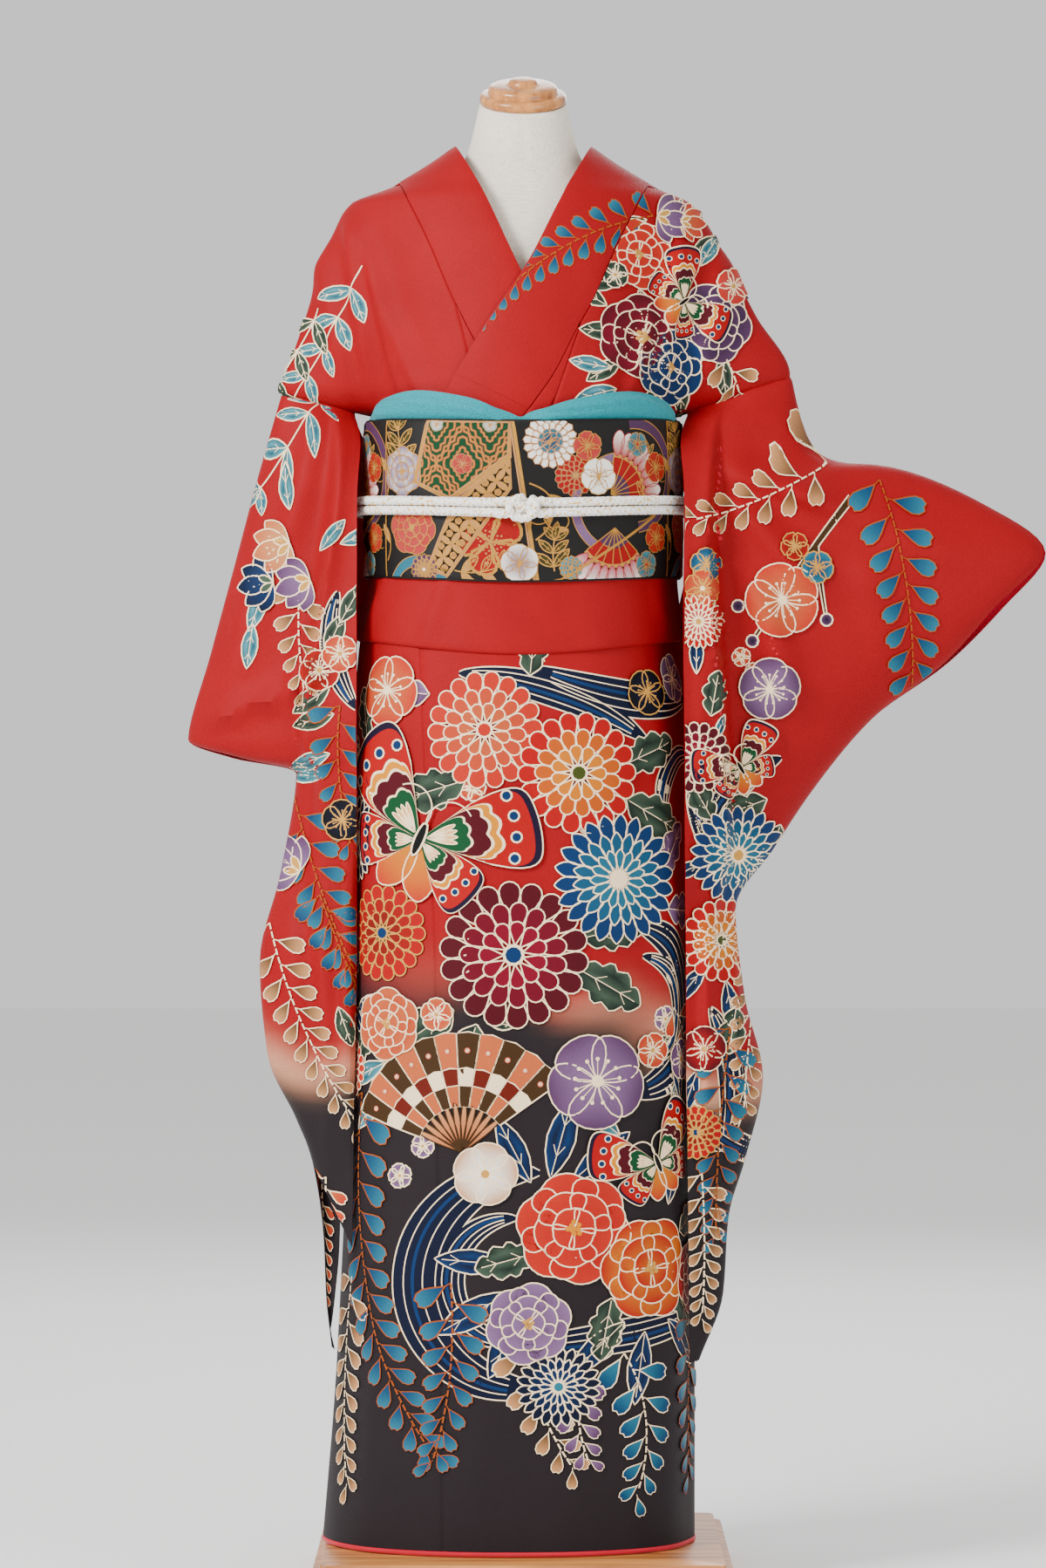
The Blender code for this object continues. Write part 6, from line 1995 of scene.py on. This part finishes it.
UPRIGHT, LEVEL = (0.0, 0.0, 1.0), (1.0, 1.0, 0.0)


def form_ring(z, angles):
    """Ring of the form: its own ellipse, drawn in at the waist to lie inside the cloth."""
    share = ease(z, 0.90, 0.98) * (1.0 - ease(z, 1.06, 1.13))
    half, front, back = (at_height(FORM, name, z) for name in ("half_width", "front", "back"))
    depth = np.where(np.cos(angles) > 0, front, back)
    height = z + 0.0 * angles
    own = stacked(half * np.sin(angles), -depth * np.cos(angles), height)
    inside = worn(angles, 1.05, -0.0013) * LEVEL + height[..., None] * UPRIGHT
    return between(own, inside, share[..., None])


def make_form():
    """Linen form with a seam down the front and the back, and its turned wooden cap."""
    turn = np.linspace(-math.pi, math.pi, 89)[:-1]
    z = np.concatenate([np.linspace(FORM_BOTTOM, 1.33, 56), np.linspace(1.34, 1.415, 20)])[:, None]
    trunk = form_ring(z, turn[None, :])
    axis = np.array([0.0, -math.sin(CAP_TILT), math.cos(CAP_TILT)])
    ahead = np.array([0.0, -math.cos(CAP_TILT), -math.sin(CAP_TILT)])
    circle = np.sin(turn)[:, None] * np.array([1.0, 0.0, 0.0]) + np.cos(turn)[:, None] * ahead
    end = np.array(NECK_TOP) + NECK_RADIUS * circle
    neck = between(trunk[-1], end, np.linspace(0.0, 1.0, 13)[1:, None, None])
    rings = np.concatenate([trunk, neck])
    groove = np.exp(-(np.sin(turn) * 60.0) ** 2) * 0.0009
    slope = np.concatenate([np.ones(len(trunk)), np.linspace(1.0, 0.4, len(neck))])
    away = unit((rings - rings.mean(axis=1, keepdims=True)) * LEVEL)
    rings = rings - away * (groove[None, :] * slope[:, None])[..., None]
    capped("form_linen", "form_torso", rings, "linen")
    at, knots = np.linspace(0, len(CAP["height"]) - 1, 46), np.arange(len(CAP["height"]))
    height, radius = (np.interp(at, knots, CAP[name])[:, None, None]
                      for name in ("height", "radius"))
    capped("turned_cap", "form_cap", np.array(NECK_TOP) + axis * height + radius * circle,
           "cap_wood", 35)


# Outlines: the pole's as radius and height, the base's as distance in from its side and height
POLE = table("radius height", """
    440 403, 450 412, 450 490, 440 500, 230 545, 190 575, 160 610, 160 6197""")
BASE = table("inset height", """
    30 0, 8 8, 0 30, 0 290, 8 318, 30 330, 74 336, 80 342, 80 376, 86 392, 104 400""")
BASE_HALF = 0.200
BASE_CORNER = 0.006


def make_stand():
    """Round steel pole with its flange, and the square moulded wooden base."""
    turn = np.linspace(0.0, 2 * math.pi, 65)[:-1]
    circle = stacked(np.cos(turn), np.sin(turn), 0 * turn)
    capped("steel_pole", "stand_pole", [circle * (radius, radius, 0.0) + (0.0, 0.0, height)
                                        for radius, height in zip(*POLE.values())],
           "steel", 40)
    corners = np.array([(1, 1), (-1, 1), (-1, -1), (1, -1)])
    arc = np.arctan2(corners[:, 1], corners[:, 0])[:, None] + np.linspace(-0.25, 0.25, 7) * math.pi
    outline = []
    for inset, height in zip(*BASE.values()):
        ring = corners[:, None] * (BASE_HALF - inset - BASE_CORNER) + BASE_CORNER * ways(arc)
        outline.append(np.concatenate([ring.reshape(-1, 2), np.full((28, 1), height)], axis=1))
    capped("moulded_base", "stand_base", outline, "base_wood", 40)


# The photo's camera: level, at this distance and height in metres, and its focal length and
# height in pixels.  Lights have a place, a power in watts and a side in metres.
CAMERA_AWAY, CAMERA_UP = 5.5, 0.7747
FOCAL, PHOTO_HEIGHT, SENSOR = 6470.0, 1798.0, 36.0
LIGHTS = {"key_light": ((-2.6, -2.6, 2.9), 250.0, 1.2),
          "fill_light": ((2.6, -3.4, 1.4), 60.0, 2.2),
          "back_light": ((0.4, 3.0, 2.6), 60.0, 2.0)}
WORLD_STRENGTH = 0.90
FLOOR_HALF = 14.0
FLOOR_Z = -0.001


def stood(made, place, at):
    """Put a light or camera in its place, turned so that it looks at a point."""
    made.location = place
    way = np.array(at) - np.array(made.location)
    made.rotation_euler = (math.atan2(math.hypot(way[0], way[1]), -way[2]), 0.0,
                           math.atan2(-way[0], way[1]))
    bpy.context.scene.collection.objects.link(made)


def make_stage():
    """Pale floor and soft light from all round, and the camera at the photo's angle."""
    scene = bpy.context.scene
    world = bpy.data.worlds.new("studio")
    scene.world = world
    world.use_nodes = True
    background = world.node_tree.nodes["Background"].inputs
    background["Color"].default_value = (1.0, 1.0, 1.0, 1.0)
    background["Strength"].default_value = WORLD_STRENGTH
    floor = bpy.data.meshes.new("floor")
    floor.from_pydata([(x * FLOOR_HALF, y * FLOOR_HALF, FLOOR_Z)
                       for x, y in ((-1, -1), (1, -1), (1, 1), (-1, 1))], [], [(0, 1, 2, 3)])
    made = bpy.data.objects.new("floor", floor)
    scene.collection.objects.link(made)
    floor.materials.append(finish_surface(new_material("pale_studio_floor"),
                                          (0.90, 0.90, 0.89), Roughness=0.8))
    for name, (place, power, side) in LIGHTS.items():
        light = bpy.data.lights.new(name, "AREA")
        light.energy, light.size = power, side
        lamp = bpy.data.objects.new(name, light)
        stood(lamp, place, (0.0, 0.0, 0.8))
    camera = bpy.data.cameras.new("camera")
    camera.sensor_width = SENSOR
    camera.lens = SENSOR * FOCAL / PHOTO_HEIGHT
    camera.clip_end = 60.0
    holder = bpy.data.objects.new("camera", camera)
    stood(holder, (0.0, -CAMERA_AWAY, CAMERA_UP), (0.0, 0.0, CAMERA_UP))
    scene.camera = holder


class FURISODE_OT_skirt(bpy.types.Operator):
    """Panels below the waist, with their dyed ground and the turned-up hem lining"""
    bl_idname = "furisode.skirt"
    bl_label = "Skirt panels and hem"

    def execute(self, context):
        make_hem()
        make_skirt()
        return {"FINISHED"}


class FURISODE_OT_waist_fold(bpy.types.Operator):
    """Doubled band of cloth that shows under the sash"""
    bl_idname = "furisode.waist_fold"
    bl_label = "Waist fold"

    def execute(self, context):
        make_waist_fold()
        return {"FINISHED"}


class FURISODE_OT_collar(bpy.types.Operator):
    """Collar round the neck and down both fronts"""
    bl_idname = "furisode.collar"
    bl_label = "Collar"

    def execute(self, context):
        make_collar()
        return {"FINISHED"}


class FURISODE_OT_bodice(bpy.types.Operator):
    """Body panels above the waist with their soft pleats"""
    bl_idname = "furisode.bodice"
    bl_label = "Body panels"

    def execute(self, context):
        make_bodice()
        return {"FINISHED"}


class FURISODE_OT_sleeves(bpy.types.Operator):
    """Both long sleeves, each a front and a back layer, and the cuff lining"""
    bl_idname = "furisode.sleeves"
    bl_label = "Sleeves"

    def execute(self, context):
        make_sleeves()
        return {"FINISHED"}


class FURISODE_OT_motifs(bpy.types.Operator):
    """Resist-dyed flowers, butterflies, water and wisteria all over the robe"""
    bl_idname = "furisode.motifs"
    bl_label = "Dyed motifs"

    def execute(self, context):
        make_robe_motifs()
        return {"FINISHED"}


class FURISODE_OT_sash(bpy.types.Operator):
    """Stiff brocade sash with its drum bow"""
    bl_idname = "furisode.sash"
    bl_label = "Sash and bow"

    def execute(self, context):
        make_obi()
        return {"FINISHED"}


class FURISODE_OT_sash_figures(bpy.types.Operator):
    """Woven figures of the sash, in silk and gold thread"""
    bl_idname = "furisode.sash_figures"
    bl_label = "Sash figures"

    def execute(self, context):
        make_sash_figures()
        return {"FINISHED"}


class FURISODE_OT_scarf(bpy.types.Operator):
    """Crinkled silk scarf along the sash's upper edge"""
    bl_idname = "furisode.scarf"
    bl_label = "Scarf"

    def execute(self, context):
        make_scarf()
        return {"FINISHED"}


class FURISODE_OT_cord(bpy.types.Operator):
    """Two braided strands round the sash and their knot"""
    bl_idname = "furisode.cord"
    bl_label = "Cord"

    def execute(self, context):
        make_cord()
        return {"FINISHED"}


class FURISODE_OT_form(bpy.types.Operator):
    """Linen dress form with its cap, pole and base"""
    bl_idname = "furisode.form"
    bl_label = "Dress form and stand"

    def execute(self, context):
        make_form()
        make_stand()
        return {"FINISHED"}


class FURISODE_OT_stage(bpy.types.Operator):
    """Floor, lights and camera"""
    bl_idname = "furisode.stage"
    bl_label = "Stage"

    def execute(self, context):
        make_stage()
        return {"FINISHED"}


class FURISODE_PT_sidebar(bpy.types.Panel):
    """Lists the robe's operators, sizes and colours"""
    bl_idname = "FURISODE_PT_sidebar"
    bl_label = "Furisode"
    bl_space_type = "VIEW_3D"
    bl_region_type = "UI"
    bl_category = "Furisode"

    def draw(self, context):
        for step in STEPS:
            self.layout.operator(step.bl_idname)
        for group in (context.scene.robe_sizes, context.scene.robe_colours):
            for name in group.__annotations__:
                self.layout.prop(group, name)


STEPS = (FURISODE_OT_skirt, FURISODE_OT_waist_fold, FURISODE_OT_collar, FURISODE_OT_bodice,
         FURISODE_OT_sleeves, FURISODE_OT_motifs, FURISODE_OT_sash, FURISODE_OT_sash_figures,
         FURISODE_OT_scarf, FURISODE_OT_cord, FURISODE_OT_form, FURISODE_OT_stage)
CLASSES = (RobeSizes, RobeColours) + STEPS + (FURISODE_PT_sidebar,)


def register():
    for one in CLASSES:
        bpy.utils.register_class(one)
    bpy.types.Scene.robe_sizes = bpy.props.PointerProperty(type=RobeSizes)
    bpy.types.Scene.robe_colours = bpy.props.PointerProperty(type=RobeColours)


def unregister():
    del bpy.types.Scene.robe_colours
    del bpy.types.Scene.robe_sizes
    for one in reversed(CLASSES):
        bpy.utils.unregister_class(one)


def main():
    register()
    bpy.ops.furisode.skirt()
    bpy.ops.furisode.waist_fold()
    bpy.ops.furisode.collar()
    bpy.ops.furisode.bodice()
    bpy.ops.furisode.sleeves()
    bpy.ops.furisode.motifs()
    bpy.ops.furisode.sash()
    bpy.ops.furisode.sash_figures()
    bpy.ops.furisode.scarf()
    bpy.ops.furisode.cord()
    bpy.ops.furisode.form()
    bpy.ops.furisode.stage()


if __name__ == "__main__":
    main()
